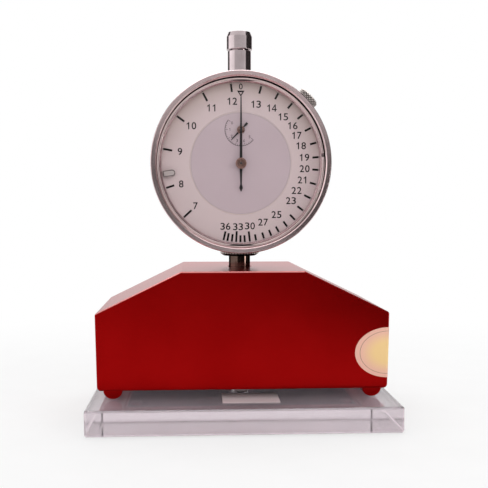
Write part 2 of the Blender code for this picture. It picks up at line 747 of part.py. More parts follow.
def make_feeler():
    """The feeler bar, its screw and the plunger."""
    half = [(BAR_WIDTH / 2, BAR_BOTTOM, BAR_NOSE_RADIUS), (BAR_WIDTH / 2, BAR_TOP, 0)]
    section = rounded(mirrored(half))
    bar = outlined("feeler_bar", [section], -BAR_LENGTH / 2, BAR_LENGTH / 2, BRIGHT, FRONT)
    head_top = BAR_BOTTOM + BAR_HEAD_SINK + BAR_HEAD_HEIGHT
    low = BAR_BOTTOM - CUT_OVERRUN
    cut(bar, disc("bar_head_cutter", BAR_HEAD_RADIUS + TOUCH_GAP, low, head_top + TOUCH_GAP, DARK))
    shank_hole = BAR_SCREW_RADIUS + TOUCH_GAP
    cut(bar, disc("bar_shank_cutter", shank_hole, low, BAR_TOP + CUT_OVERRUN, DARK))
    screw(
        "bar_screw",
        BAR_SCREW_RADIUS,
        BAR_HEAD_RADIUS,
        BAR_HEAD_HEIGHT,
        BAR_SCREW_LENGTH,
        SATIN,
        FEELER,
        (0, 0, head_top),
        (math.pi, 0, 0),
    )
    hole_top = head_top + BAR_SCREW_LENGTH + TOUCH_GAP
    profile = [
        (0, PLUNGER_TOP),
        (PLUNGER_RADIUS - EDGE_BREAK, PLUNGER_TOP),
        (PLUNGER_RADIUS, PLUNGER_TOP - EDGE_BREAK),
        (PLUNGER_RADIUS, PLUNGER_SEAT),
        (PLUNGER_FLANGE_RADIUS, PLUNGER_SEAT),
        (PLUNGER_FLANGE_RADIUS, PLUNGER_BOTTOM),
        (shank_hole, PLUNGER_BOTTOM),
        (shank_hole, hole_top),
        (0, hole_top),
    ]
    turned("plunger", profile, BRIGHT, FEELER, INNER_STEPS, solid=True)


def make_spring_and_bush():
    """The guide bush in the boss, and the measuring spring below it."""
    barrel = STEM_RADIUS
    bore = PLUNGER_RADIUS + RUN_GAP
    top = BUSH_SEAT + BUSH_LENGTH
    profile = [
        (bore, top),
        (barrel, top),
        (barrel, BUSH_TOP),
        (BUSH_FLANGE_RADIUS, BUSH_TOP),
        (BUSH_FLANGE_RADIUS, BUSH_SEAT),
        (bore, BUSH_SEAT),
    ]
    turned("guide_bush", profile, BRASS, None, INNER_STEPS)
    low = PLUNGER_SEAT + TOUCH_GAP + SPRING_WIRE / 2
    high = BUSH_SEAT - TOUCH_GAP - SPRING_WIRE / 2
    count = round(SPRING_TURNS * SPRING_TURN_POINTS)
    points = []
    for i in range(count + 1):
        angle = math.tau * SPRING_TURNS * i / count
        height = low + (high - low) * i / count
        points.append((SPRING_RADIUS * math.cos(angle), SPRING_RADIUS * math.sin(angle), height))
    wire("measuring_spring", points, SPRING_WIRE, SPRING_STEEL)
    gap = math.dist(points[0], points[SPRING_TURN_POINTS]) - SPRING_WIRE
    print(f"measuring_spring: least gap between turns {gap * MM_PER_METRE:.2f} mm")


def make_stem():
    """The gauge's lower stem, its lock nut and the set screw that holds it."""
    spigot_top = STEM_TOP + SPIGOT_LENGTH
    profile = [
        (STEM_BORE_RADIUS, spigot_top),
        (SPIGOT_RADIUS, spigot_top),
        (SPIGOT_RADIUS, STEM_TOP),
        (STEM_RADIUS, STEM_TOP),
        (STEM_RADIUS, STEM_BOTTOM),
        (STEM_BORE_RADIUS, STEM_BOTTOM),
    ]
    turned("lower_stem", profile, BRIGHT)
    nut_top = STEM_TOP - TOUCH_GAP
    knurl = teeth(NUT_TEETH, NUT_RADIUS, NUT_RADIUS - KNURL_DEPTH)
    bore = circle(STEM_RADIUS + TOUCH_GAP, MEDIUM_STEPS)
    outlined("lock_nut", [knurl, bore], nut_top - NUT_HEIGHT, nut_top, SATIN)
    inner = STEM_RADIUS + TOUCH_GAP
    outer = HOUSING_DEPTH / 2 - SET_SCREW_SINK
    set_screw = disc("stem_set_screw", SET_SCREW_RADIUS, inner, outer, DARK, steps=SMALL_STEPS)
    socket = disc(
        "socket_cutter",
        SET_SCREW_SOCKET_RADIUS,
        outer - SET_SCREW_SOCKET_DEPTH,
        outer + CUT_OVERRUN,
        DARK,
        steps=HEXAGON_SIDES,
    )
    for obj in (set_screw, socket):
        obj.location = (0, 0, HOUSING_TOP - SET_SCREW_HEIGHT)
        obj.rotation_euler = (-math.pi / 2, 0, 0)
    cut(set_screw, socket)


def make_sleeve_and_cap():
    """The upper sleeve over the spindle, and the cap that closes it."""
    spigot = SLEEVE_BOTTOM - SPIGOT_LENGTH
    mouth = SLEEVE_TOP - SLEEVE_MOUTH_DEPTH
    profile = [
        (SLEEVE_MOUTH_RADIUS, SLEEVE_TOP),
        (SLEEVE_RADIUS, SLEEVE_TOP),
        (SLEEVE_RADIUS, SLEEVE_BOTTOM),
        (SPIGOT_RADIUS, SLEEVE_BOTTOM),
        (SPIGOT_RADIUS, spigot),
        (STEM_BORE_RADIUS, spigot),
        (STEM_BORE_RADIUS, mouth),
        (SLEEVE_MOUTH_RADIUS, mouth),
    ]
    turned("upper_sleeve", profile, SATIN)
    plug = SLEEVE_MOUTH_RADIUS - TOUCH_GAP
    roof = CAP_TOP - CAP_TOP_THICKNESS
    profile = [
        (0, CAP_TOP),
        (CAP_RADIUS - CAP_EDGE, CAP_TOP),
        (CAP_RADIUS, CAP_TOP - CAP_EDGE),
        (CAP_RADIUS, CAP_BOTTOM + EDGE_BREAK),
        (CAP_RADIUS - EDGE_BREAK, CAP_BOTTOM),
        (plug, CAP_BOTTOM),
        (plug, mouth + TOUCH_GAP),
        (STEM_BORE_RADIUS, mouth + TOUCH_GAP),
        (STEM_BORE_RADIUS, roof),
        (0, roof),
    ]
    turned("sleeve_cap", profile, SATIN, solid=True)


def make_case():
    """The gauge's round case, with a web at each end of its bore and holes for stem and screws."""
    rear_web = -CASE_BACK + WEB_THICKNESS
    profile = [
        (CASE_BORE, CASE_FRONT),
        (CASE_RADIUS, CASE_FRONT),
        (CASE_RADIUS, -CASE_BACK),
        (WEB_RADIUS, -CASE_BACK),
        (WEB_RADIUS, rear_web),
        (CASE_BORE, rear_web),
        (CASE_BORE, WEB_REAR),
        (WEB_RADIUS, WEB_REAR),
        (WEB_RADIUS, WEB_FRONT),
        (CASE_BORE, WEB_FRONT),
    ]
    case = turned("gauge_case", profile, SATIN, GAUGE, LARGE_STEPS)
    reach = CASE_RADIUS + CUT_OVERRUN
    for name, low, high in (("top_hole_cutter", 0, reach), ("bottom_hole_cutter", -reach, 0)):
        tool = disc(name, SPIGOT_RADIUS + TOUCH_GAP, low, high, SATIN)
        tool.location = (0, 0, GAUGE_HEIGHT)
        cut(case, tool)
    start = CASE_BORE - CUT_OVERRUN
    cut(case, disc("lock_cutter", LOCK_SHANK_RADIUS + RUN_GAP, start, reach, SATIN, LOCK, SMALL_STEPS))
    for x, y in ring_places(BACK_SCREW_COUNT, WEB_MIDDLE, BACK_SCREW_TURN):
        low = -CASE_BACK - CUT_OVERRUN
        high = rear_web + CUT_OVERRUN
        tool = disc("back_hole_cutter", BACK_SCREW_RADIUS + TOUCH_GAP, low, high, SATIN, GAUGE, SMALL_STEPS)
        tool.location = (x, y, 0)
        cut(case, tool)
    for x, y in ring_places(MOVEMENT_SCREW_COUNT, WEB_MIDDLE, MOVEMENT_SCREW_TURN):
        low = WEB_REAR - CUT_OVERRUN
        high = WEB_FRONT + CUT_OVERRUN / 2
        tool = disc(
            "web_hole_cutter", MOVEMENT_SCREW_RADIUS + TOUCH_GAP, low, high, SATIN, GAUGE, SMALL_STEPS
        )
        tool.location = (x, y, 0)
        cut(case, tool)


def ring_places(count, radius, turn):
    """Places evenly round a circle."""
    angles = [math.radians(turn) + math.tau * i / count for i in range(count)]
    return [(radius * math.cos(a), radius * math.sin(a)) for a in angles]


def make_back_cover():
    """The gauge's back cover and its screws."""
    front = -CASE_BACK - TOUCH_GAP
    rear = front - BACK_COVER_THICKNESS
    places = ring_places(BACK_SCREW_COUNT, WEB_MIDDLE, BACK_SCREW_TURN)
    profile = [
        (0, front),
        (BACK_COVER_RADIUS, front),
        (BACK_COVER_RADIUS, rear + EDGE_BREAK),
        (BACK_COVER_RADIUS - EDGE_BREAK, rear),
        (0, rear),
    ]
    cover = turned("back_cover", profile, SATIN, GAUGE, LARGE_STEPS, solid=True)
    for number, (x, y) in enumerate(places, 1):
        low = rear - CUT_OVERRUN
        high = front + CUT_OVERRUN
        tool = disc("cover_hole_cutter", BACK_SCREW_RADIUS + TOUCH_GAP, low, high, SATIN, GAUGE, SMALL_STEPS)
        tool.location = (x, y, 0)
        cut(cover, tool)
        screw(
            f"back_screw_{number}",
            BACK_SCREW_RADIUS,
            BACK_HEAD_RADIUS,
            BACK_HEAD_HEIGHT,
            BACK_SCREW_LENGTH,
            BRIGHT,
            GAUGE,
            (x, y, rear - TOUCH_GAP),
            (math.pi, 0, 0),
        )


def make_bezel():
    """The turning bezel, the crystal, the split ring that holds it, and the outer dial."""
    skirt = CASE_RADIUS + RUN_GAP
    seat = DIAL_RADIUS + TOUCH_GAP
    profile = [
        (BEZEL_MOUTH_RADIUS, BEZEL_FRONT - EDGE_BREAK),
        (BEZEL_MOUTH_RADIUS + EDGE_BREAK, BEZEL_FRONT),
        (BEZEL_RADIUS - BEZEL_EDGE, BEZEL_FRONT),
        (BEZEL_RADIUS, BEZEL_FRONT - BEZEL_EDGE),
        (BEZEL_RADIUS, BEZEL_REAR),
        (skirt, BEZEL_REAR),
        (skirt, SEAT_REAR),
        (seat, SEAT_REAR),
        (seat, LEDGE_REAR),
        (BEZEL_LEDGE_RADIUS, LEDGE_REAR),
        (BEZEL_LEDGE_RADIUS, LEDGE_FRONT),
        (BEZEL_MOUTH_RADIUS, LEDGE_FRONT),
    ]
    turned("bezel", profile, SATIN, BEZEL, LARGE_STEPS)
    disc("crystal", CRYSTAL_RADIUS, CRYSTAL_REAR, CRYSTAL_FRONT, GLASS, BEZEL, LARGE_STEPS)
    half_gap = math.degrees(RETAINER_GAP / 2 / RETAINER_RADIUS)
    start = RETAINER_GAP_ANGLE + half_gap
    end = RETAINER_GAP_ANGLE + 360 - half_gap
    outer = arc(RETAINER_RADIUS, start, end, LARGE_STEPS)
    inner = arc(RETAINER_RADIUS - RETAINER_WIDTH, end, start, LARGE_STEPS)
    front = RETAINER_REAR + RETAINER_THICKNESS
    outlined("crystal_retainer", [outer + inner], RETAINER_REAR, front, BRIGHT, BEZEL)
    bore = DIAL_CENTRE_RADIUS + RUN_GAP
    ring("outer_dial", bore, DIAL_RADIUS, DIAL_REAR, DIAL_FRONT, DIAL, BEZEL, LARGE_STEPS)


def make_marker():
    """The clear limit marker that slides round inside the bezel."""
    top = BEZEL_LEDGE_RADIUS - RUN_GAP
    half = MARKER_WIDTH / 2
    spread = math.degrees(math.asin(half / top))
    loop = arc(top, -spread, spread, CORNER_STEPS)
    middle = top - MARKER_REACH + half
    for step in range(2 * CORNER_STEPS + 1):
        angle = math.pi * step / (2 * CORNER_STEPS)
        loop.append((half * math.cos(angle), middle - half * math.sin(angle)))
    low = DIAL_FRONT + MARKER_LIFT
    outlined("limit_marker", [loop], low, low + MARKER_THICKNESS, GLASS, MARKER)


def make_inner_dial():
    """The fixed inner dial, with two feet that pass into the movement plate."""
    loops = [circle(DIAL_CENTRE_RADIUS, LARGE_STEPS), circle(DIAL_HOLE_RADIUS, SMALL_STEPS)]
    loops.append(circle(DIAL_HOLE_RADIUS, SMALL_STEPS, (0, ARBOR_SPACING)))
    dial = outlined("inner_dial", loops, DIAL_REAR, DIAL_FRONT, DIAL_GREY, GAUGE)
    for side in (-1, 1):
        high = DIAL_REAR + DIAL_THICKNESS / 2
        foot = disc("dial_foot_shape", DIAL_FOOT_RADIUS, MOVEMENT_REAR, high, DIAL_GREY, GAUGE, SMALL_STEPS)
        foot.location = (side * DIAL_FOOT_PLACE, 0, 0)
        join(dial, foot)


def make_movement():
    """The movement plate and its screws, and the bridge behind the wheels."""
    pillar_half = PILLAR_SPACING / 2
    screw_places = ring_places(MOVEMENT_SCREW_COUNT, WEB_MIDDLE, MOVEMENT_SCREW_TURN)
    loops = [circle(MOVEMENT_RADIUS, LARGE_STEPS)]
    for y in (-ARBOR_SPACING, 0, ARBOR_SPACING):
        loops.append(circle(ARBOR_HOLE, SMALL_STEPS, (0, y)))
    for side in (-1, 1):
        loops.append(circle(DIAL_FOOT_RADIUS + TOUCH_GAP, SMALL_STEPS, (side * DIAL_FOOT_PLACE, 0)))
        loops.append(circle(BRIDGE_SCREW_RADIUS + TOUCH_GAP, SMALL_STEPS, (side * pillar_half, 0)))
    for at in screw_places:
        loops.append(circle(MOVEMENT_SCREW_RADIUS + TOUCH_GAP, SMALL_STEPS, at))
    outlined("movement_plate", loops, MOVEMENT_REAR, MOVEMENT_FRONT, BRASS, GAUGE)
    head_base = MOVEMENT_FRONT + PRESS_GAP
    for number, (x, y) in enumerate(screw_places, 1):
        screw(
            f"movement_screw_{number}",
            MOVEMENT_SCREW_RADIUS,
            MOVEMENT_HEAD_RADIUS,
            MOVEMENT_HEAD_HEIGHT,
            MOVEMENT_SCREW_LENGTH,
            BRIGHT,
            GAUGE,
            (x, y, head_base),
        )
    half_bar = PILLAR_RADIUS + EDGE_BREAK
    reach = pillar_half + half_bar
    bar = []
    for turn_x, turn_y in ((1, 1), (-1, 1), (-1, -1), (1, -1)):
        side = BRIDGE_RIGHT if turn_x > 0 else BRIDGE_LEFT
        corner = [(reach, half_bar), (side, half_bar + BRIDGE_TAPER), (side - BRIDGE_TAPER, BRIDGE_ARM)]
        if turn_x != turn_y:
            corner.reverse()
        bar += [(turn_x * x, turn_y * y) for x, y in corner]
    holes = [circle(ARBOR_HOLE, SMALL_STEPS, (0, y)) for y in (-ARBOR_SPACING, 0, ARBOR_SPACING)]
    stub_hole = PILLAR_STUB_RADIUS + TOUCH_GAP
    holes += [circle(stub_hole, SMALL_STEPS, (side * pillar_half, 0)) for side in (-1, 1)]
    outlined("rear_bridge", [bar] + holes, BRIDGE_REAR, BRIDGE_FRONT, BRASS, GAUGE)
    top = MOVEMENT_REAR - TOUCH_GAP
    thread = BRIDGE_SCREW_RADIUS + PIVOT_GAP
    thread_end = head_base - BRIDGE_SCREW_LENGTH - TOUCH_GAP
    profile = [
        (0, thread_end),
        (thread, thread_end),
        (thread, top),
        (PILLAR_RADIUS, top),
        (PILLAR_RADIUS, BRIDGE_FRONT + TOUCH_GAP),
        (PILLAR_STUB_RADIUS, BRIDGE_FRONT + TOUCH_GAP),
        (PILLAR_STUB_RADIUS, BRIDGE_REAR),
        (0, BRIDGE_REAR),
    ]
    for number, side in enumerate((-1, 1), 1):
        pillar = turned(f"bridge_pillar_{number}", profile, BRASS, GAUGE, SMALL_STEPS, solid=True)
        pillar.location = (side * pillar_half, 0, 0)
        screw(
            f"bridge_screw_{number}",
            BRIDGE_SCREW_RADIUS,
            MOVEMENT_HEAD_RADIUS,
            MOVEMENT_HEAD_HEIGHT,
            BRIDGE_SCREW_LENGTH,
            BRIGHT,
            GAUGE,
            (side * pillar_half, 0, head_base),
        )


def toothed_wheel(name, count, pitch, module, low, high, turn, material, parent):
    """A wheel or pinion with pointed teeth, pressed on its arbor."""
    tip = pitch + module * TOOTH_TIP_SHARE
    valley = pitch - module * TOOTH_VALLEY_SHARE
    loops = [teeth(count, tip, valley, turn), circle(ARBOR_RADIUS + PRESS_GAP, SMALL_STEPS)]
    return outlined(name, loops, low, high, material, parent)


def make_wheels():
    """The counter, centre and take-up arbors with their wheels, and the hairspring."""
    rear = BRIDGE_REAR
    disc("counter_arbor", ARBOR_RADIUS, rear, SMALL_HUB_REAR + SMALL_HUB_HEIGHT, BRIGHT, COUNTER, SMALL_STEPS)
    disc("centre_arbor", ARBOR_RADIUS, rear, MAIN_HUB_REAR + MAIN_HUB_HEIGHT, BRIGHT, POINTER, SMALL_STEPS)
    disc("take_up_arbor", ARBOR_RADIUS, rear, MOVEMENT_FRONT, BRIGHT, TAKE_UP, SMALL_STEPS)
    half_tooth = 180 / WHEEL_TEETH
    toothed_wheel(
        "counter_wheel", WHEEL_TEETH, WHEEL_PITCH, WHEEL_MODULE, WHEEL_REAR, WHEEL_FRONT,
        DOWNWARDS + half_tooth, BRASS, COUNTER,
    )
    toothed_wheel(
        "take_up_wheel", WHEEL_TEETH, WHEEL_PITCH, WHEEL_MODULE, WHEEL_REAR, WHEEL_FRONT,
        UPWARDS + half_tooth, BRASS, TAKE_UP,
    )
    toothed_wheel(
        "centre_pinion", CENTRE_PINION_TEETH, CENTRE_PITCH, WHEEL_MODULE, CENTRE_PINION_REAR,
        CENTRE_PINION_REAR + CENTRE_PINION_THICKNESS, UPWARDS, BRIGHT, POINTER,
    )
    toothed_wheel(
        "rack_pinion", RACK_PINION_TEETH, RACK_PITCH, RACK_MODULE, RACK_PINION_REAR, RACK_FRONT,
        0, BRIGHT, COUNTER,
    )
    middle = (RACK_PINION_REAR + RACK_FRONT) / 2
    count = HAIRSPRING_TURNS * HAIRSPRING_TURN_POINTS
    points = []
    for i in range(count + 1):
        angle = math.tau * HAIRSPRING_TURNS * i / count
        radius = HAIRSPRING_INNER + (HAIRSPRING_OUTER - HAIRSPRING_INNER) * i / count
        points.append((radius * math.cos(angle), radius * math.sin(angle), middle))
    wire("hairspring", points, HAIRSPRING_WIRE, SPRING_STEEL, TAKE_UP)
    gap = (HAIRSPRING_OUTER - HAIRSPRING_INNER) / HAIRSPRING_TURNS - HAIRSPRING_WIRE
    print(f"hairspring: least gap between turns {gap * MM_PER_METRE:.2f} mm")


def make_spindle():
    """The spindle with its rack, and the contact tip that touches the plunger."""
    spindle = disc("spindle", SPINDLE_RADIUS, SPINDLE_BOTTOM, SPINDLE_TOP, BRIGHT, FEELER, INNER_STEPS)
    tip = RACK_PITCH - RACK_MODULE * TOOTH_TIP_SHARE
    valley = RACK_PITCH + RACK_MODULE * TOOTH_VALLEY_SHARE
    half_teeth = round(RACK_LENGTH / RACK_TOOTH)
    low = ARBOR_SPACING - RACK_TOOTH * half_teeth / 2
    loop = []
    for i in range(2 * half_teeth + 1):
        at_valley = (i + half_teeth) % 2 == 0
        loop.append((valley if at_valley else tip, low + RACK_TOOTH * i / 2))
    high = loop[-1][1]
    loop += [(RACK_BACK, high), (RACK_BACK, low)]
    rear = RACK_FOOT_FRONT - FUSE_OVERLAP
    join(spindle, outlined("rack_shape", [loop], rear, RACK_FRONT, BRIGHT, GAUGE))
    foot_low = (RACK_FOOT_LEFT, low + EDGE_BREAK, 0)
    foot_high = (RACK_BACK - EDGE_BREAK, high - EDGE_BREAK, RACK_FOOT_FRONT)
    join(spindle, block("rack_foot_shape", foot_low, foot_high, BRIGHT, GAUGE))
    nose = [(0, CONTACT_BOTTOM + CONTACT_LENGTH), (CONTACT_RADIUS, CONTACT_BOTTOM + CONTACT_LENGTH)]
    for step in range(CORNER_STEPS):
        angle = math.pi / 2 * step / CORNER_STEPS
        height = CONTACT_BOTTOM + CONTACT_RADIUS * (1 - math.sin(angle))
        nose.append((CONTACT_RADIUS * math.cos(angle), height))
    nose.append((0, CONTACT_BOTTOM))
    turned("contact_tip", nose, BRIGHT, FEELER, SMALL_STEPS, solid=True)


def hand_loop(tip, tip_half, root_half, boss, tail, tail_half, diamond_half):
    """The outline of a hand that points up, with a round boss and a diamond at the tail's end."""
    root_angle = math.degrees(math.asin(root_half / boss))
    right = [(tip_half, tip)]
    right += arc(boss, root_angle, 180 - root_angle, 2 * CORNER_STEPS)
    rise = diamond_half * DIAMOND_RISE_SHARE
    right += [(tail_half, -tail + 2 * rise), (diamond_half, -tail + rise)]
    right += [(tip_half / 2, -tail)]
    return right + [(-x, y) for x, y in reversed(right)]


def make_hands():
    """The main hand and the small counter hand, each with its hub."""
    hole = circle(ARBOR_RADIUS + PRESS_GAP, SMALL_STEPS)
    main = hand_loop(
        MAIN_HAND_TIP, MAIN_HAND_TIP_HALF, MAIN_HAND_ROOT_HALF, MAIN_HAND_BOSS, MAIN_HAND_TAIL,
        MAIN_HAND_TAIL_HALF, MAIN_HAND_DIAMOND_HALF,
    )
    front = MAIN_HAND_REAR + HAND_THICKNESS
    outlined("main_hand", [main, hole], MAIN_HAND_REAR, front, BLACK, POINTER)
    hub_bore = ARBOR_RADIUS + PRESS_GAP
    front = MAIN_HUB_REAR + MAIN_HUB_HEIGHT
    ring("main_hub", hub_bore, MAIN_HUB_RADIUS, MAIN_HUB_REAR, front, HUB, POINTER, INNER_STEPS)
    small = hand_loop(
        SMALL_HAND_TIP, SMALL_HAND_TIP_HALF, SMALL_HAND_ROOT_HALF, SMALL_HAND_BOSS, SMALL_HAND_TAIL,
        SMALL_HAND_TAIL_HALF, SMALL_HAND_DIAMOND_HALF,
    )
    front = SMALL_HAND_REAR + HAND_THICKNESS
    hand = outlined("counter_hand", [small, hole], SMALL_HAND_REAR, front, BLACK, COUNTER)
    hand.rotation_euler = (0, 0, -math.radians(SMALL_HAND_ANGLE))
    front = SMALL_HUB_REAR + SMALL_HUB_HEIGHT
    ring("counter_hub", hub_bore, SMALL_HUB_RADIUS, SMALL_HUB_REAR, front, HUB, COUNTER, SMALL_STEPS)


def make_lock_screw():
    """The knurled screw that locks the bezel, along the radius at its angle."""
    inner = CASE_RADIUS + TOUCH_GAP
    knurl = teeth(LOCK_TEETH, LOCK_HEAD_RADIUS, LOCK_HEAD_RADIUS - KNURL_DEPTH)
    head = outlined("bezel_lock_screw", [knurl], inner, inner + LOCK_HEAD_LENGTH, SATIN, LOCK)
    start = inner - LOCK_SHANK_LENGTH
    end = inner + FUSE_OVERLAP
    join(head, disc("lock_shank_shape", LOCK_SHANK_RADIUS, start, end, SATIN, LOCK, SMALL_STEPS))


make_plate()
make_housing()
make_cover()
make_seal()
make_feeler()
make_spring_and_bush()
make_stem()
make_sleeve_and_cap()
make_case()
make_back_cover()
make_bezel()
make_marker()
make_inner_dial()
make_movement()
make_wheels()
make_spindle()
make_hands()
make_lock_screw()
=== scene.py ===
"""The looks of the screen mesh tension meter: every surface, the dial's print, and a plain studio.

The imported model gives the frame. Meshes are built in millimetres in a frame of their own and then
placed in the model's metres. The dial's frame has X to the right, Y up and Z out towards the reader,
and starts on the axis of the stem at the height of the dial's centre.
"""

import logging
import math
from collections.abc import Callable, Iterable, Sequence
from dataclasses import dataclass
from enum import Enum

import bmesh
import bpy
from mathutils import Matrix, Vector


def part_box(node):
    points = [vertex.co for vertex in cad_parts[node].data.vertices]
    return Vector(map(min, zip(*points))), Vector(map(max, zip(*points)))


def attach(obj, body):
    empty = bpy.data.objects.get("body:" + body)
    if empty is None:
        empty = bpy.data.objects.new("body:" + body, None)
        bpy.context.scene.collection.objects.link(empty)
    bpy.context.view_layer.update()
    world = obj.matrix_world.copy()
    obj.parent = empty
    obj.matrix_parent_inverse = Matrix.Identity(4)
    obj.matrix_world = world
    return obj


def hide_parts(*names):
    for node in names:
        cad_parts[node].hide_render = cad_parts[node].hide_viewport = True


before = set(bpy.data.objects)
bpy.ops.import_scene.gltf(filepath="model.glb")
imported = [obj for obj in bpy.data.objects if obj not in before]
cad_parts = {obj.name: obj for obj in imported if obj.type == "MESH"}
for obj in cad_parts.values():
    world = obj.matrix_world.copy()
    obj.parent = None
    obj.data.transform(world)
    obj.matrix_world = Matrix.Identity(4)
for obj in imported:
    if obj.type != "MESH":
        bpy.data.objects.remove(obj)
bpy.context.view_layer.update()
LOG = logging.getLogger("tension_meter")

MM = 0.001
SMOOTH_ANGLE = math.radians(32)
MERGE_MM = 0.0005
IMAGE_WIDTH_PX = 488
NOISE_SPAN = (0.3, 0.7)
TOUCH_GAP = 0.3
STEM_FACETS = 96
ROUND_FACETS = 144
RIM_FACETS = 192
SHAFT_SPACING = 11.06
UPRIGHT = Matrix.Diagonal((MM, MM, MM, 1.0))
RAISED = Matrix.Rotation(math.pi / 2, 4, "X")
ON_SIDE = Matrix.Rotation(-math.pi / 2, 4, "X")

Point = tuple[float, float]
Colour = tuple[float, float, float]
Loop = list[Point]


class Brushing(Enum):
    """The way that fine tool marks run on a metal piece."""

    ROUND_UPRIGHT = "rings round the upright stem"
    ROUND_DIAL = "rings round the dial's axis"
    ALONG_X = "straight marks from side to side"


class NodeBoard:
    """Adds and wires the nodes of one shader or geometry tree."""

    def __init__(self, tree: bpy.types.NodeTree) -> None:
        """Keeps the tree.

        Args:
            tree: The node tree to build in.
        """
        self.tree = tree

    def add(self, kind: str, inputs: dict | None = None, **settings: object) -> bpy.types.Node:
        """Adds a node.

        Args:
            kind: The node's type name.
            inputs: Values or output sockets, by input name or number.
            settings: Attributes of the node, such as operation.

        Returns:
            The new node.
        """
        node = self.tree.nodes.new(kind)
        for name, value in settings.items():
            setattr(node, name, value)
        for key, value in (inputs or {}).items():
            self.feed(node, key, value)
        return node

    def feed(self, node: bpy.types.Node, key: str | int, value: object) -> None:
        """Sets one input of a node, or wires a socket to it.

        Args:
            node: The node.
            key: The input's name or number.
            value: A plain value or an output socket.
        """
        if isinstance(value, bpy.types.NodeSocket):
            self.tree.links.new(value, node.inputs[key])
        else:
            node.inputs[key].default_value = value

    def math(self, operation: str, *values: object) -> bpy.types.NodeSocket:
        """Adds a Math node.

        Args:
            operation: The operation's name.
            values: Its numbers or sockets, in order.

        Returns:
            The result's socket.
        """
        return self.add("ShaderNodeMath", dict(enumerate(values)), operation=operation).outputs[0]

    def parts(self, vector: bpy.types.NodeSocket) -> bpy.types.NodeOutputs:
        """A vector's X, Y and Z."""
        return self.add("ShaderNodeSeparateXYZ", {0: vector}).outputs

    def length(self, vector: bpy.types.NodeSocket) -> bpy.types.NodeSocket:
        """A vector's length."""
        return self.add("ShaderNodeVectorMath", {0: vector}, operation="LENGTH").outputs["Value"]

    def vector(self, *values: object) -> bpy.types.NodeSocket:
        """A vector of up to three numbers or sockets."""
        return self.add("ShaderNodeCombineXYZ", dict(enumerate(values))).outputs[0]

    def remap(self, value: bpy.types.NodeSocket, *ends: float, smooth: bool = False) -> bpy.types.NodeSocket:
        """Spreads a range of a value over another range.

        Args:
            value: The value.
            ends: The range's start and end, then the results there, which are 0 and 1 if left out.
            smooth: Whether it eases in and out.

        Returns:
            The result's socket.
        """
        names = ("From Min", "From Max", "To Min", "To Max")
        kind = "SMOOTHSTEP" if smooth else "LINEAR"
        inputs = {"Value": value, **dict(zip(names, ends))}
        return self.add("ShaderNodeMapRange", inputs, interpolation_type=kind).outputs["Result"]


class Finish:
    """A procedural material that reads Object coordinates."""

    def __init__(self, name: str) -> None:
        """Makes an empty Principled material.

        Args:
            name: The material's name.
        """
        self.material = bpy.data.materials.new(name)
        self.material.use_nodes = True
        self.board = NodeBoard(self.material.node_tree)
        self.shader = self.material.node_tree.nodes["Principled BSDF"]

    def set(self, **values: object) -> None:
        """Sets constant sockets of the shader.

        Args:
            values: Values by socket name, with an underscore for each space.
        """
        for name, value in values.items():
            self.board.feed(self.shader, name.replace("_", " "), value)

    def place(self) -> bpy.types.NodeSocket:
        """The Object coordinate."""
        return self.board.add("ShaderNodeTexCoord").outputs["Object"]

    def noise(self, vector: bpy.types.NodeSocket, scale: float, detail: float = 2.0) -> bpy.types.NodeSocket:
        """A noise pattern.

        Args:
            vector: Where it is read.
            scale: Cells for each metre.
            detail: How many octaves it has.

        Returns:
            The noise value's socket.
        """
        inputs = {"Vector": vector, "Scale": scale, "Detail": detail}
        return self.board.add("ShaderNodeTexNoise", inputs).outputs["Fac"]

    def between(self, value: bpy.types.NodeSocket, low: float, high: float) -> bpy.types.NodeSocket:
        """Spreads a value in the middle of its range over another range.

        Args:
            value: A noise value.
            low: Result at the low end.
            high: Result at the high end.

        Returns:
            The result's socket.
        """
        return self.board.remap(value, *NOISE_SPAN, low, high)

    def blend(
        self, factor: bpy.types.NodeSocket, first: Sequence[float], second: Sequence[float]
    ) -> bpy.types.NodeSocket:
        """Blends two colours.

        Args:
            factor: 0 for the first colour and 1 for the second.
            first: Red, green and blue.
            second: Red, green and blue.

        Returns:
            The colour's socket.
        """
        node = self.board.add("ShaderNodeMix", {0: factor}, data_type="RGBA")
        for number, colour in ((6, first), (7, second)):
            value = colour if isinstance(colour, bpy.types.NodeSocket) else (*colour, 1.0)
            self.board.feed(node, number, value)
        return node.outputs[2]

    def bump(self, height: bpy.types.NodeSocket, distance: float, strength: float = 1.0) -> None:
        """Gives the surface a relief.

        Args:
            height: The relief's height from 0 to 1.
            distance: Its depth in metres.
            strength: How much of it shows.
        """
        inputs = {"Height": height, "Distance": distance, "Strength": strength}
        self.board.feed(self.shader, "Normal", self.board.add("ShaderNodeBump", inputs).outputs["Normal"])


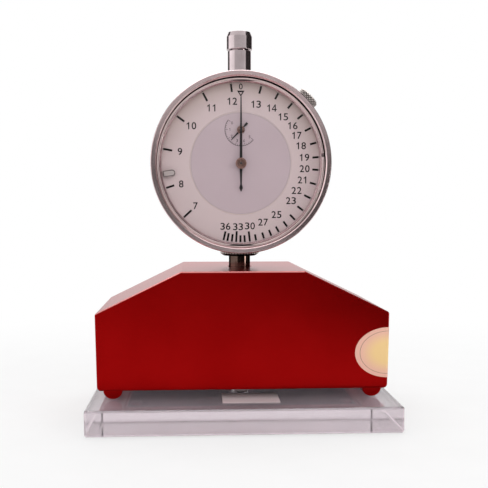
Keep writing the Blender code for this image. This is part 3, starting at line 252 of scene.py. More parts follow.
@dataclass(frozen=True)
class AnodisedFinish:
    """Fine-blasted metal with a tinted anodised skin, and a paler painted highlight on its upper edges."""

    name: str
    deep: Colour
    bright: Colour
    roughness: tuple[float, float] = (0.26, 0.36)
    grain_scale: float = 5200.0
    cloud_scale: float = 38.0
    grazing_sheen: float = 0.3
    # Colour of the painted highlight on the upper edges.
    rubbed: Colour = (0.80, 0.27, 0.26)

    def build(self) -> bpy.types.Material:
        """Makes the material."""
        finish = Finish(self.name)
        place = finish.place()
        grain = finish.noise(place, self.grain_scale, 3.0)
        cloud = finish.noise(place, self.cloud_scale, 4.0)
        finish.set(Metallic=1.0)
        skin = finish.blend(finish.between(cloud, 0.0, 1.0), self.deep, self.bright)
        # Upper edges that do not face right blend to a paler red: a painted highlight.
        finish.set(Base_Color=finish.blend(self.on_edge(finish), skin, self.rubbed))
        finish.set(Roughness=finish.between(grain, *self.roughness))
        facing = finish.board.add("ShaderNodeLayerWeight", {"Blend": 0.5}).outputs["Facing"]
        sheen = finish.board.math("MULTIPLY", finish.board.math("POWER", facing, 3.0), self.grazing_sheen)
        finish.set(Coat_Weight=sheen, Coat_Roughness=0.2)
        finish.bump(grain, 0.000012, 0.35)
        return finish.material

    def on_edge(self, finish: Finish) -> bpy.types.NodeSocket:
        """How far a place is on an upper front or rear edge that does not face right, where a paler colour is
        painted in as the edge's highlight.

        Args:
            finish: The material under way.

        Returns:
            The share's socket.
        """
        board = finish.board
        parts = board.parts(board.add("ShaderNodeTexCoord").outputs["Normal"])
        across = board.math("MULTIPLY", board.math("ABSOLUTE", parts["Y"]), parts["Z"])
        edge = board.remap(across, 0.16, 0.34)
        return board.math("MULTIPLY", edge, board.math("LESS_THAN", parts["X"], 0.12))


@dataclass(frozen=True)
class BrushedFinish:
    """Turned or ground metal with fine tool marks, and a groove painted dark as shade where one is given."""

    name: str
    colour: Colour
    shade: Colour
    brushing: Brushing
    roughness: tuple[float, float] = (0.16, 0.28)
    marks_scale: float = 9000.0
    marks_depth: float = 0.000006
    centre: tuple[float, float, float] = (0.0, 0.0, 0.0)
    stretch: float = 0.0
    edge_tint: float = 1.0
    # Radius and front of a groove painted dark as shade, if any.
    groove: tuple[float, float] | None = None

    def marks(self, finish: Finish) -> bpy.types.NodeSocket:
        """The pattern of the tool marks, which also turns the highlights across them.

        Args:
            finish: The material under way.

        Returns:
            The pattern's socket.
        """
        board = finish.board
        parts = self.centred(finish)
        if self.brushing is Brushing.ALONG_X:
            drawn = board.vector(board.math("MULTIPLY", parts["X"], 0.02), parts["Y"], parts["Z"])
            return finish.noise(drawn, self.marks_scale, 3.0)
        upright = self.brushing is Brushing.ROUND_UPRIGHT
        across, along = ("Y", "Z") if upright else ("Z", "Y")
        squares = [board.math("POWER", parts[axis], 2.0) for axis in ("X", across)]
        radius = board.math("SQRT", board.math("ADD", *squares))
        turn = board.math("ARCTAN2", parts["X"], parts[across])
        if self.stretch:
            spokes = board.vector(0.0, 0.0, 1.0) if upright else board.vector(parts["X"], 0.0, parts["Z"])
            finish.set(Tangent=spokes, Anisotropic=self.stretch)
        rings = board.vector(radius, parts[along], board.math("MULTIPLY", turn, 0.0002))
        return finish.noise(rings, self.marks_scale, 3.0)

    def centred(self, finish: Finish) -> bpy.types.NodeOutputs:
        """The coordinates from the finish's centre, one by one."""
        inputs = {"Vector": finish.place(), "Location": [-value for value in self.centre]}
        return finish.board.parts(finish.board.add("ShaderNodeMapping", inputs).outputs["Vector"])

    def build(self) -> bpy.types.Material:
        """Makes the material."""
        finish = Finish(self.name)
        marks = self.marks(finish)
        stain = finish.noise(finish.place(), 220.0, 4.0)
        colour = finish.blend(finish.between(stain, 0.0, 1.0), self.shade, self.colour)
        # Painted shade: the groove behind the ring's front is coloured near black.
        if self.groove:
            colour = finish.blend(self.in_groove(finish), colour, (0.012, 0.008, 0.007))
        finish.set(Metallic=1.0, Specular_Tint=(*[self.edge_tint] * 3, 1.0), Base_Color=colour)
        finish.set(Roughness=finish.between(marks, *self.roughness))
        finish.bump(marks, self.marks_depth, 0.5)
        return finish.material

    def in_groove(self, finish: Finish) -> bpy.types.NodeSocket:
        """1 in the narrow groove behind the front of the dial's ring, which is painted near black as shade.

        Args:
            finish: The material under way.

        Returns:
            The share's socket.
        """
        board = finish.board
        radius, front = self.groove
        parts = self.centred(finish)
        out = board.length(board.vector(parts["X"], parts["Z"]))
        outside = board.math("GREATER_THAN", out, radius)
        inside = board.math("LESS_THAN", out, radius + 0.0005)
        behind = board.math("GREATER_THAN", parts["Y"], -front)
        return board.math("MULTIPLY", board.math("MULTIPLY", outside, inside), behind)


@dataclass(frozen=True)
class KnurlFinish:
    """Steel with a pressed knurl: crests worn bright and painted lighter as a highlight, grooves painted dark
    as shade.
    """

    name: str
    crest: Colour
    groove: Colour
    bright_from: tuple[float, float]
    roughness: tuple[float, float] = (0.28, 0.42)

    def build(self) -> bpy.types.Material:
        """Makes the material."""
        finish = Finish(self.name)
        board = finish.board
        height = board.add("ShaderNodeAttribute", attribute_name="crest").outputs["Fac"]
        # Share of the crest colour: worn steel and painted highlight on the crests, painted shade deeper
        # down.
        share = board.remap(height, *self.bright_from, smooth=True)
        wear = finish.noise(finish.place(), 900.0, 3.0)
        worn = board.math("MULTIPLY", share, finish.between(wear, 0.82, 1.0))
        finish.set(Metallic=board.remap(worn, 0.0, 1.0, 1.0, 0.55))
        finish.set(Base_Color=finish.blend(worn, self.groove, self.crest), Specular_Tint=(0.3, 0.3, 0.3, 1.0))
        finish.set(Roughness=finish.between(wear, *self.roughness))
        finish.bump(wear, 0.000006, 0.3)
        return finish.material


@dataclass(frozen=True)
class PrintedFinish:
    """Paint, ink, paper or plastic with a fine speckle."""

    name: str
    colour: Colour
    shade: Colour
    roughness: tuple[float, float] = (0.45, 0.6)
    speckle_scale: float = 2600.0
    relief: float = 0.000008
    gloss: float = 0.5

    def build(self) -> bpy.types.Material:
        """Makes the material."""
        finish = Finish(self.name)
        place = finish.place()
        speckle = finish.noise(place, self.speckle_scale, 3.0)
        cloud = finish.noise(place, 90.0, 3.0)
        finish.set(Base_Color=finish.blend(finish.between(cloud, 0.0, 1.0), self.colour, self.shade))
        finish.set(Roughness=finish.between(speckle, *self.roughness), Specular_IOR_Level=self.gloss)
        finish.bump(speckle, self.relief, 0.4)
        return finish.material


@dataclass(frozen=True)
class DialFinish:
    """A painted dial whose colour changes towards its rim, all round or in its upper part only; the darker
    rim in the upper part is painted shade of the bezel.
    """

    name: str
    colour: Colour
    rim: Colour
    centre_height: float
    inner: float
    outer: float
    upper: tuple[float, float] | None = None

    def build(self) -> bpy.types.Material:
        """Makes the material."""
        finish = Finish(self.name)
        board = finish.board
        place = finish.place()
        inputs = {"Vector": place, "Location": (0.0, 0.0, -self.centre_height), "Scale": (1.0, 0.0, 1.0)}
        flat = board.add("ShaderNodeMapping", inputs).outputs["Vector"]
        share = board.remap(board.length(flat), self.inner, self.outer, smooth=True)
        # Painted shade: the rim colour is limited to the dial's upper part, where the bezel shades it.
        if self.upper:
            top = board.remap(board.parts(flat)["Z"], *self.upper, smooth=True)
            share = board.math("MULTIPLY", share, top)
        speckle = finish.noise(place, 2400.0, 3.0)
        cloud = finish.between(finish.noise(place, 70.0, 3.0), 0.96, 1.0)
        paint = finish.blend(share, self.colour, self.rim)
        clouded = board.add("ShaderNodeVectorMath", {0: paint, "Scale": cloud}, operation="SCALE").outputs[0]
        finish.set(Base_Color=clouded)
        finish.set(Roughness=finish.between(speckle, 0.42, 0.55))
        finish.bump(speckle, 0.000006, 0.3)
        return finish.material


@dataclass(frozen=True)
class BlockFinish:
    """Clear cast plastic, polished, with faint handling haze."""

    name: str
    colour: Colour = (0.75, 0.665, 0.71)
    clear: float = 0.9
    haze: tuple[float, float] = (0.01, 0.05)
    worn: float = 0.0

    def build(self) -> bpy.types.Material:
        """Makes the material."""
        finish = Finish(self.name)
        haze = finish.between(finish.noise(finish.place(), 160.0, 5.0), *self.haze)
        ripple = finish.noise(finish.place(), 45.0, 1.0)
        finish.set(Base_Color=(*self.colour, 1.0), IOR=1.49, Transmission_Weight=self.clear, Roughness=haze)
        if self.worn:
            board = finish.board
            facing = board.parts(board.add("ShaderNodeTexCoord").outputs["Normal"])
            top = board.remap(facing["Z"], 0.9, 1.0, 0.0, self.worn)
            finish.set(Transmission_Weight=board.math("SUBTRACT", self.clear, top))
            finish.set(Roughness=board.math("ADD", haze, board.math("MULTIPLY", top, 0.4)))
        finish.bump(ripple, 0.00001, 0.25)
        return finish.material


@dataclass(frozen=True)
class PaneFinish:
    """A thin clear pane: see-through, with gloss that grows towards grazing view."""

    name: str
    base: float = 0.01
    edge: float = 0.75
    colour: Colour = (0.95, 0.92, 0.92)

    def build(self) -> bpy.types.Material:
        """Makes the material."""
        finish = Finish(self.name)
        board = finish.board
        facing = board.add("ShaderNodeLayerWeight", {"Blend": 0.22}).outputs["Facing"]
        smear = finish.noise(finish.place(), 120.0, 4.0)
        finish.set(Base_Color=(*self.colour, 1.0), Metallic=1.0)
        finish.set(Roughness=finish.between(smear, 0.02, 0.07))
        finish.set(Alpha=board.remap(facing, 0.0, 1.0, self.base, self.edge))
        return finish.material


@dataclass(frozen=True)
class SealFinish:
    """The oval seal: cream paper, a rosy rim and one thin ring, on the seal's own unrolled map."""

    name: str
    middle: Colour = (0.79, 0.54, 0.24)
    rim: Colour = (0.73, 0.41, 0.32)
    line: Colour = (0.20, 0.13, 0.09)
    line_at: float = 0.85
    line_half: float = 0.007

    def build(self) -> bpy.types.Material:
        """Makes the material."""
        finish = Finish(self.name)
        board = finish.board
        flat = board.add("ShaderNodeUVMap", uv_map="unrolled").outputs["UV"]
        out = board.length(flat)
        paper = finish.blend(board.remap(out, 0.35, 0.9, smooth=True), self.middle, self.rim)
        off_line = board.math("ABSOLUTE", board.math("SUBTRACT", out, self.line_at))
        on_line = board.math("LESS_THAN", off_line, self.line_half)
        fibre = finish.noise(finish.place(), 3200.0, 4.0)
        finish.set(Base_Color=finish.blend(on_line, paper, self.line))
        finish.set(Roughness=finish.between(fibre, 0.32, 0.5))
        finish.bump(fibre, 0.00001, 0.4)
        return finish.material


class Palette:
    """Every finish of the meter."""

    def __init__(self, dial_height: float) -> None:
        """Builds the materials.

        Args:
            dial_height: Height of the dial's centre, for patterns that run round it.
        """
        centre = (0.0, 0.0, dial_height)
        pale = (0.64, 0.545, 0.56)
        mid = (0.54, 0.45, 0.46)
        dial = Brushing.ROUND_DIAL
        upright = Brushing.ROUND_UPRIGHT
        along = Brushing.ALONG_X
        self.red = AnodisedFinish("red_anodised", (0.335, 0.0028, 0.0030), (0.39, 0.0040, 0.0042)).build()
        # Radius and front of the groove behind the bezel's mouth, painted dark as shade.
        groove = (0.02755, 0.0135)
        self.bezel = BrushedFinish(
            "bezel_satin", (0.80, 0.63, 0.635), (0.72, 0.56, 0.565), dial, (0.18, 0.28),
            centre=centre, stretch=0.5, groove=groove,
        ).build()
        self.ring = BrushedFinish(
            "ring_bright", (0.95, 0.76, 0.75), (0.86, 0.68, 0.67), dial, (0.24, 0.34),
            centre=centre, groove=groove,
        ).build()
        self.case = BrushedFinish("case_satin", pale, mid, dial, (0.30, 0.40), centre=centre).build()
        self.tube = BrushedFinish("tube_ground", pale, mid, upright, (0.10, 0.17), stretch=0.3).build()
        # Crest colour, partly worn steel and partly painted highlight; groove colour, painted shade.
        bright, dark = (0.93, 0.86, 0.82), (0.018, 0.012, 0.010)
        self.knurl = KnurlFinish("knurl_steel", bright, dark, (0.25, 0.7)).build()
        self.worn_knurl = KnurlFinish("worn_knurl_steel", bright, dark, (0.45, 0.85)).build()
        self.stem = BrushedFinish(
            "stem_dark_chrome", (0.20, 0.13, 0.105), (0.13, 0.082, 0.068), upright, (0.05, 0.1),
            edge_tint=0.12,
        ).build()
        self.steel = BrushedFinish("bright_steel", (0.66, 0.64, 0.64), mid, along, (0.14, 0.24)).build()
        self.blackened = BrushedFinish(
            "blackened_steel", (0.045, 0.04, 0.04), (0.03, 0.027, 0.027), along, (0.35, 0.5)
        ).build()
        self.spring = BrushedFinish(
            "spring_wire", (0.42, 0.41, 0.41), (0.30, 0.29, 0.29), upright, (0.2, 0.32)
        ).build()
        self.brass = BrushedFinish(
            "lacquered_brass", (0.72, 0.52, 0.22), (0.60, 0.41, 0.16), along, (0.2, 0.34)
        ).build()
        self.hub = BrushedFinish(
            "hub_bronze", (0.42, 0.26, 0.225), (0.31, 0.18, 0.15), dial, (0.22, 0.36), centre=centre
        ).build()
        self.block = BlockFinish("clear_block", worn=0.1).build()
        self.pane = PaneFinish("crystal_pane").build()
        self.tab = BlockFinish("clear_tab", (0.62, 0.54, 0.53), 0.3).build()
        # A darker copy of the tab under it, whose rim shows as a painted shade outline.
        self.tab_edge = BlockFinish("clear_tab_edge", (0.20, 0.165, 0.16), 0.3).build()
        white = (0.61, 0.49, 0.495)
        # The outer dial's browner rim in its upper part is painted shade of the bezel.
        self.dial = DialFinish(
            "dial_warm_white", white, (0.45, 0.35, 0.325), dial_height, 0.019, 0.0285, (-0.006, 0.02)
        ).build()
        self.dial_inner = DialFinish(
            "dial_cool_grey", (0.505, 0.40, 0.433), white, dial_height, 0.0165, 0.0167
        ).build()
        self.ink = PrintedFinish("black_ink", (0.004, 0.003, 0.003), (0.007, 0.006, 0.006), gloss=0.1).build()
        self.pale_ink = PrintedFinish("grey_ink", (0.10, 0.08, 0.085), (0.14, 0.11, 0.12)).build()
        self.line_ink = PrintedFinish("line_ink", (0.40, 0.33, 0.34), (0.44, 0.36, 0.37)).build()
        self.hand = PrintedFinish(
            "hand_black", (0.008, 0.007, 0.008), (0.012, 0.010, 0.011), (0.28, 0.4)
        ).build()
        self.paper = PrintedFinish("label_paper", (0.70, 0.60, 0.61), (0.65, 0.555, 0.565)).build()
        self.seal = SealFinish("seal_paper").build()


def rounded(corners: Iterable[Sequence[float]], segments: int = 5) -> Loop:
    """Rounds the corners of a closed loop.

    Args:
        corners: Each corner's two coordinates and its radius, or none for a sharp one.
        segments: Straight steps in each rounded corner.

    Returns:
        The loop's points.
    """
    corners = [tuple(corner) for corner in corners]
    loop: Loop = []
    for index, corner in enumerate(corners):
        here = Vector(corner[:2])
        radius = corner[2] if len(corner) > 2 else 0.0
        if not radius:
            loop.append(tuple(here))
            continue
        before = (Vector(corners[index - 1][:2]) - here).normalized()
        after = (Vector(corners[(index + 1) % len(corners)][:2]) - here).normalized()
        half = before.angle(after) / 2
        centre = here + (before + after).normalized() * radius / math.sin(half)
        first = here + before * radius / math.tan(half) - centre
        last = here + after * radius / math.tan(half) - centre
        turn = first.angle_signed(last)
        for step in range(segments + 1):
            spoke = first.copy()
            spoke.rotate(Matrix.Rotation(-turn * step / segments, 2))
            loop.append(tuple(centre + spoke))
    return loop


def circle(radius: float, count: int, centre: Point = (0.0, 0.0)) -> Loop:
    """The points of a round loop.

    Args:
        radius: The loop's radius.
        count: How many points it has.
        centre: Its middle.

    Returns:
        The loop's points.
    """
    angles = [math.tau * step / count for step in range(count)]
    return [(centre[0] + radius * math.cos(a), centre[1] + radius * math.sin(a)) for a in angles]


def clock(radius: float, degrees: float, centre: Point = (0.0, 0.0)) -> Point:
    """A place on the dial, by its radius and its angle clockwise from the top."""
    angle = math.radians(degrees)
    return centre[0] + radius * math.sin(angle), centre[1] + radius * math.cos(angle)


def arc(radius: float, start: float, end: float, count: int, centre: Point = (0.0, 0.0)) -> Loop:
    """The points of an arc, with its angles clockwise from the top."""
    return [clock(radius, start + (end - start) * step / count, centre) for step in range(count + 1)]


def turned(profile: Loop, steps: int = 96) -> bpy.types.Mesh:
    """A lathed mesh about Z.

    Args:
        profile: Closed loop of radius and height; where it touches the axis, those points are poles.
        steps: Facets round the axis.

    Returns:
        The mesh.
    """
    solid = bmesh.new()
    rings = []
    for radius, height in profile:
        if radius <= MERGE_MM:
            rings.append([solid.verts.new((0.0, 0.0, height))] * steps)
            continue
        angles = [math.tau * step / steps for step in range(steps)]
        rings.append([solid.verts.new((radius * math.cos(a), radius * math.sin(a), height)) for a in angles])
    for index, ring in enumerate(rings):
        after = rings[(index + 1) % len(rings)]
        for step in range(steps):
            beside = (step + 1) % steps
            corners = [ring[step], ring[beside], after[beside], after[step]]
            corners = list(dict.fromkeys(corners))
            if len(corners) > 2:
                solid.faces.new(corners)
    return closed_mesh(solid, "turned")


def closed_mesh(solid: bmesh.types.BMesh, name: str) -> bpy.types.Mesh:
    """Welds a mesh, points its faces outwards and frees its source.

    Args:
        solid: The mesh under way.
        name: The new mesh's name.

    Returns:
        The mesh.
    """
    bmesh.ops.remove_doubles(solid, verts=solid.verts, dist=MERGE_MM)
    bmesh.ops.recalc_face_normals(solid, faces=solid.faces)
    mesh = bpy.data.meshes.new(name)
    solid.to_mesh(mesh)
    solid.free()
    return mesh


def temporary(mesh: bpy.types.Mesh) -> bpy.types.Object:
    """An object for a mesh that still takes modifiers."""
    obj = bpy.data.objects.new("work_" + mesh.name, mesh)
    bpy.context.scene.collection.objects.link(obj)
    return obj


def settled(obj: bpy.types.Object) -> bpy.types.Mesh:
    """Turns an object with its modifiers into a plain mesh, and removes the object.

    Args:
        obj: The working object.

    Returns:
        The evaluated mesh.
    """
    bpy.context.view_layer.update()
    evaluated = obj.evaluated_get(bpy.context.evaluated_depsgraph_get())
    mesh = bpy.data.meshes.new_from_object(evaluated)
    bpy.data.objects.remove(obj)
    return mesh


def plate_of(loops: Sequence[Loop], low: float, high: float) -> bpy.types.Mesh:
    """A flat outline with holes, from low to high along Z.

    Args:
        loops: The outline first, then its holes.
        low: Height of the back face.
        high: Height of the front face.

    Returns:
        The mesh.
    """
    curve = bpy.data.curves.new("outline", "CURVE")
    curve.dimensions = "2D"
    curve.fill_mode = "BOTH"
    curve.extrude = (high - low) / 2
    for loop in loops:
        spline = curve.splines.new("POLY")
        spline.points.add(len(loop) - 1)
        spline.use_cyclic_u = True
        for point, (x, y) in zip(spline.points, loop):
            point.co = (x, y, 0.0, 1.0)
    guide = bpy.data.objects.new("work_outline", curve)
    bpy.context.scene.collection.objects.link(guide)
    solid = bmesh.new()
    solid.from_mesh(settled(guide))
    bmesh.ops.translate(solid, verts=solid.verts, vec=(0.0, 0.0, (high + low) / 2))
    return closed_mesh(solid, "plate")


def box_mesh(low: Sequence[float], high: Sequence[float]) -> bpy.types.Mesh:
    """A box between two corners."""
    size = Vector(high) - Vector(low)
    middle = (Vector(high) + Vector(low)) / 2
    solid = bmesh.new()
    bmesh.ops.create_cube(solid, size=1.0, matrix=Matrix.Translation(middle) @ Matrix.Diagonal((*size, 1.0)))
    return closed_mesh(solid, "box")


def softened(mesh: bpy.types.Mesh, width: float, segments: int = 3, angle: float = 40.0) -> bpy.types.Mesh:
    """Rounds a mesh's sharp edges.

    Args:
        mesh: The mesh.
        width: The rounding's width.
        segments: Its steps.
        angle: Edges that turn by more than this are rounded.

    Returns:
        The rounded mesh.
    """
    obj = temporary(mesh)
    bevel = obj.modifiers.new("Edges", "BEVEL")
    bevel.width = width
    bevel.segments = segments
    bevel.limit_method = "ANGLE"
    bevel.angle_limit = math.radians(angle)
    bevel.use_clamp_overlap = False
    return settled(obj)


def carved(mesh: bpy.types.Mesh, *steps: tuple[str, bpy.types.Mesh]) -> bpy.types.Mesh:
    """Joins shapes to a mesh or cuts them from it.

    Args:
        mesh: The mesh.
        steps: Pairs of UNION or DIFFERENCE and the other shape, in order.

    Returns:
        The carved mesh.
    """
    obj = temporary(mesh)
    tools = []
    for operation, shape in steps:
        tool = temporary(shape)
        tools.append(tool)
        modifier = obj.modifiers.new(operation, "BOOLEAN")
        modifier.operation = operation
        modifier.solver = "EXACT"
        modifier.object = tool
    result = settled(obj)
    for tool in tools:
        bpy.data.objects.remove(tool)
    return result


def together(*meshes: bpy.types.Mesh) -> bpy.types.Mesh:
    """Lays several meshes into one.

    Args:
        meshes: The meshes, which keep their places.

    Returns:
        The joined mesh.
    """
    solid = bmesh.new()
    for mesh in meshes:
        solid.from_mesh(mesh)
    joined = bpy.data.meshes.new("joined")
    solid.to_mesh(joined)
    solid.free()
    return joined


def in_mm(corners: Iterable[Vector]) -> list[Vector]:
    """Corners of the model in millimetres."""
    return [corner / MM for corner in corners]


def footprint(low: Vector, high: Vector, radius: float, segments: int) -> bpy.types.Mesh:
    """A flat block between two corners, with its upright edges rounded."""
    corners = [(low.x, low.y), (high.x, low.y), (high.x, high.y), (low.x, high.y)]
    return plate_of([rounded([(x, y, radius) for x, y in corners], segments)], low.z, high.z)


def clockwise(angle: float) -> Matrix:
    """A turn to the right round Z, in degrees."""
    return Matrix.Rotation(-math.radians(angle), 4, "Z")


def moved(mesh: bpy.types.Mesh, matrix: Matrix) -> bpy.types.Mesh:
    """Moves a mesh by a matrix, and returns it."""
    mesh.transform(matrix)
    return mesh




def show(
    name: str,
    mesh: bpy.types.Mesh,
    frame: Matrix,
    material: bpy.types.Material,
    body: str,
    nodes: Sequence[str] = (),
) -> bpy.types.Object:
    """Makes a finished piece of the meter.

    Args:
        name: The piece's name.
        mesh: Its mesh in millimetres.
        frame: Takes the mesh to the model's metres.
        material: Its finish.
        body: The CAD body that it moves with.
        nodes: The CAD nodes that it stands for.

    Returns:
        The piece.
    """
    mesh.transform(frame)
    mesh.shade_smooth()
    mesh.set_sharp_from_angle(angle=SMOOTH_ANGLE)
    mesh.name = name
    mesh.materials.clear()
    mesh.materials.append(material)
    piece = bpy.data.objects.new(name, mesh)
    bpy.context.scene.collection.objects.link(piece)
    weighted = temporary(mesh)
    modifier = weighted.modifiers.new("Flat faces", "WEIGHTED_NORMAL")
    modifier.keep_sharp = True
    piece.data = settled(weighted)
    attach(piece, body)
    if nodes:
        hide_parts(*nodes)
    LOG.info("%s rides on %s with %d faces", name, body, len(piece.data.polygons))
    return piece


def keep(material: bpy.types.Material, *nodes: str) -> None:
    """Gives CAD nodes that stay in the picture their finish.

    Args:
        material: The finish.
        nodes: The nodes' names.
    """
    for node in nodes:
        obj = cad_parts[node]
        obj.data.materials.clear()
        obj.data.materials.append(material)
        LOG.info("%s keeps its solid", node)


class GeometryRecipe:
    """A Geometry Nodes tree with named inputs, run once on a mesh."""

    KINDS = {
        float: "NodeSocketFloat",
        int: "NodeSocketInt",
        bpy.types.Object: "NodeSocketObject",
        bpy.types.Material: "NodeSocketMaterial",
    }

    def __init__(self, name: str, **inputs: object) -> None:
        """Makes the tree with its inputs and a stand-in for the finish.

        Args:
            name: The tree's name.
            inputs: The value of each input, by name.
        """
        self.finish = bpy.data.materials.new("work")
        self.tree = bpy.data.node_groups.new(name, "GeometryNodeTree")
        self.board = NodeBoard(self.tree)
        face = self.tree.interface
        face.new_socket("Geometry", in_out="INPUT", socket_type="NodeSocketGeometry")
        self.values = {}
        for label, value in {**inputs, "Finish": self.finish}.items():
            kind = next(kind for source, kind in self.KINDS.items() if isinstance(value, source))
            socket = face.new_socket(label, in_out="INPUT", socket_type=kind)
            self.values[socket.identifier] = value
        face.new_socket("Geometry", in_out="OUTPUT", socket_type="NodeSocketGeometry")
        self.source = self.board.add("NodeGroupInput").outputs

    def run(self, geometry: bpy.types.NodeSocket, mesh: bpy.types.Mesh) -> bpy.types.Mesh:
        """Ends the tree and runs it.

        Args:
            geometry: The socket with the result's instances or mesh.
            mesh: The mesh that the tree starts from.

        Returns:
            The new mesh.
        """
        real = self.board.add("GeometryNodeRealizeInstances", {0: geometry}).outputs[0]
        coated = self.board.add("GeometryNodeSetMaterial", {0: real, "Material": self.source["Finish"]})
        self.board.add("NodeGroupOutput", {0: coated.outputs[0]})
        obj = temporary(mesh)
        modifier = obj.modifiers.new(self.tree.name, "NODES")
        modifier.node_group = self.tree
        for identifier, value in self.values.items():
            modifier[identifier] = value
        result = settled(obj)
        bpy.data.materials.remove(self.finish)
        return result


def knurled(
    mesh: bpy.types.Mesh, teeth: int, depth: float, rim: float, slant: float, plain: float = 0.0
) -> bpy.types.Mesh:
    """Presses a knurl into the rim of a turned mesh.

    Args:
        mesh: The turned mesh, about Z.
        teeth: Ridges round the rim.
        depth: The knurl's depth.
        rim: Radius of the rim; what lies deeper than the knurl stays plain.
        slant: Radians that crossing ridges turn for each millimetre along the axis.
        plain: Radius within which the piece is as bright as the ridges' tops.

    Returns:
        The knurled mesh.
    """
    recipe = GeometryRecipe("knurl", Teeth=float(teeth), Depth=depth, Rim=rim, Slant=slant, Plain=plain)
    board = recipe.board
    source = recipe.source
    parts = board.parts(board.add("GeometryNodeInputPosition").outputs[0])
    turn = board.math("ARCTAN2", parts["Y"], parts["X"])
    lean = board.math("MULTIPLY", parts["Z"], source["Slant"])
    waves = []
    for operation in ("ADD", "SUBTRACT"):
        angle = board.math("MULTIPLY", board.math(operation, turn, lean), source["Teeth"])
        waves.append(board.math("ABSOLUTE", board.math("SINE", board.math("MULTIPLY", angle, 0.5))))
    cut = board.math("MINIMUM", *waves)
    flat = board.vector(parts["X"], parts["Y"])
    radius = board.length(flat)
    deep = board.math("MULTIPLY", board.math("SUBTRACT", cut, 1.0), source["Depth"])
    drop = board.math("SUBTRACT", board.math("ADD", source["Rim"], deep), radius)
    drop = board.math("MINIMUM", drop, 0.0)
    height = board.math("ADD", board.math("DIVIDE", drop, source["Depth"]), 1.0)
    sunk = board.math("DIVIDE", board.math("SUBTRACT", radius, source["Rim"]), source["Depth"])
    plain_part = board.math("LESS_THAN", radius, source["Plain"])
    height = board.math("MAXIMUM", board.math("ADD", height, sunk), plain_part)
    inputs = {"Geometry": source["Geometry"], "Name": "crest", "Value": height}
    marked = board.add("GeometryNodeStoreNamedAttribute", inputs, data_type="FLOAT", domain="POINT")
    outwards = board.add("ShaderNodeVectorMath", {0: flat}, operation="NORMALIZE").outputs[0]
    offset = board.add("ShaderNodeVectorMath", {0: outwards, "Scale": drop}, operation="SCALE").outputs[0]
    shaped = board.add("GeometryNodeSetPosition", {"Geometry": marked.outputs[0], "Offset": offset})
    return recipe.run(shaped.outputs[0], mesh)


def scattered(marks: Sequence[Sequence[float]], high: float, thickness: float) -> bpy.types.Mesh:
    """Lays printed bars on the dial.

    Args:
        marks: Centre x, centre y, angle clockwise from upright, length and width of each bar.
        high: Height of the bars' front.
        thickness: The print's thickness.

    Returns:
        The mesh of all bars.
    """
    points = bpy.data.meshes.new("points")
    points.from_pydata([(x, y, high - thickness / 2) for x, y, *_ in marks], [], [])
    turns = points.attributes.new("turn", "FLOAT", "POINT")
    sizes = points.attributes.new("size", "FLOAT_VECTOR", "POINT")
    for index, (_, _, turn, length, width) in enumerate(marks):
        turns.data[index].value = -math.radians(turn)
        sizes.data[index].vector = (width, length, thickness)
    recipe = GeometryRecipe("printed bars")
    board = recipe.board
    bar = board.add("GeometryNodeMeshCube", {"Size": (1.0, 1.0, 1.0)}).outputs["Mesh"]
    turn, size = (
        board.add("GeometryNodeInputNamedAttribute", {"Name": name}, data_type=kind).outputs[0]
        for name, kind in (("turn", "FLOAT"), ("size", "FLOAT_VECTOR"))
    )
    rotation = board.vector(0.0, 0.0, turn)
    inputs = {"Points": recipe.source["Geometry"], "Instance": bar, "Rotation": rotation, "Scale": size}
    return recipe.run(board.add("GeometryNodeInstanceOnPoints", inputs).outputs[0], points)


def coiled(start: float, end: float, height: float, turns: float, wire: float) -> bpy.types.Mesh:
    """A round wire wound about Z, from height zero.

    Args:
        start: First radius.
        end: Last radius.
        height: Rise over the whole length.
        turns: How many turns it has.
        wire: The wire's radius.

    Returns:
        The mesh.
    """
    recipe = GeometryRecipe("wound wire", Turns=turns, Start=start, End=end, Height=height, Wire=wire)
    board = recipe.board
    source = recipe.source
    inputs = {
        "Resolution": 40,
        "Rotations": source["Turns"],
        "Start Radius": source["Start"],
        "End Radius": source["End"],
        "Height": source["Height"],
    }
    path = board.add("GeometryNodeCurveSpiral", inputs).outputs[0]
    section = board.add("GeometryNodeCurvePrimitiveCircle", {"Resolution": 12, "Radius": source["Wire"]})
    inputs = {"Curve": path, "Profile Curve": section.outputs[0], "Fill Caps": True}
    tube = board.add("GeometryNodeCurveToMesh", inputs).outputs[0]
    return recipe.run(tube, bpy.data.meshes.new("start"))


def ringed(mesh: bpy.types.Mesh, count: int, radius: float, turn: float) -> bpy.types.Mesh:
    """Sets copies of a small mesh round a circle about Z.

    Args:
        mesh: The mesh to copy, which goes to height zero of the result.
        count: How many copies.
        radius: The circle's radius.
        turn: Angle of the first copy from X, in degrees.

    Returns:
        The mesh of all copies.
    """
    model = temporary(mesh)
    angle = math.radians(turn)
    recipe = GeometryRecipe("copies on a circle", Piece=model, Count=count, Radius=radius, Turn=angle)
    board = recipe.board
    source = recipe.source
    spots = board.add("GeometryNodeMeshCircle", {"Vertices": source["Count"], "Radius": source["Radius"]})
    rotation = board.vector(0.0, 0.0, source["Turn"])
    turned_spots = board.add("GeometryNodeTransform", {"Geometry": spots.outputs[0], "Rotation": rotation})
    piece = board.add("GeometryNodeObjectInfo", {"Object": source["Piece"]}).outputs["Geometry"]
    inputs = {"Points": turned_spots.outputs[0], "Instance": piece}
    copies = board.add("GeometryNodeInstanceOnPoints", inputs).outputs[0]
    result = recipe.run(copies, bpy.data.meshes.new("start"))
    bpy.data.objects.remove(model)
    return result


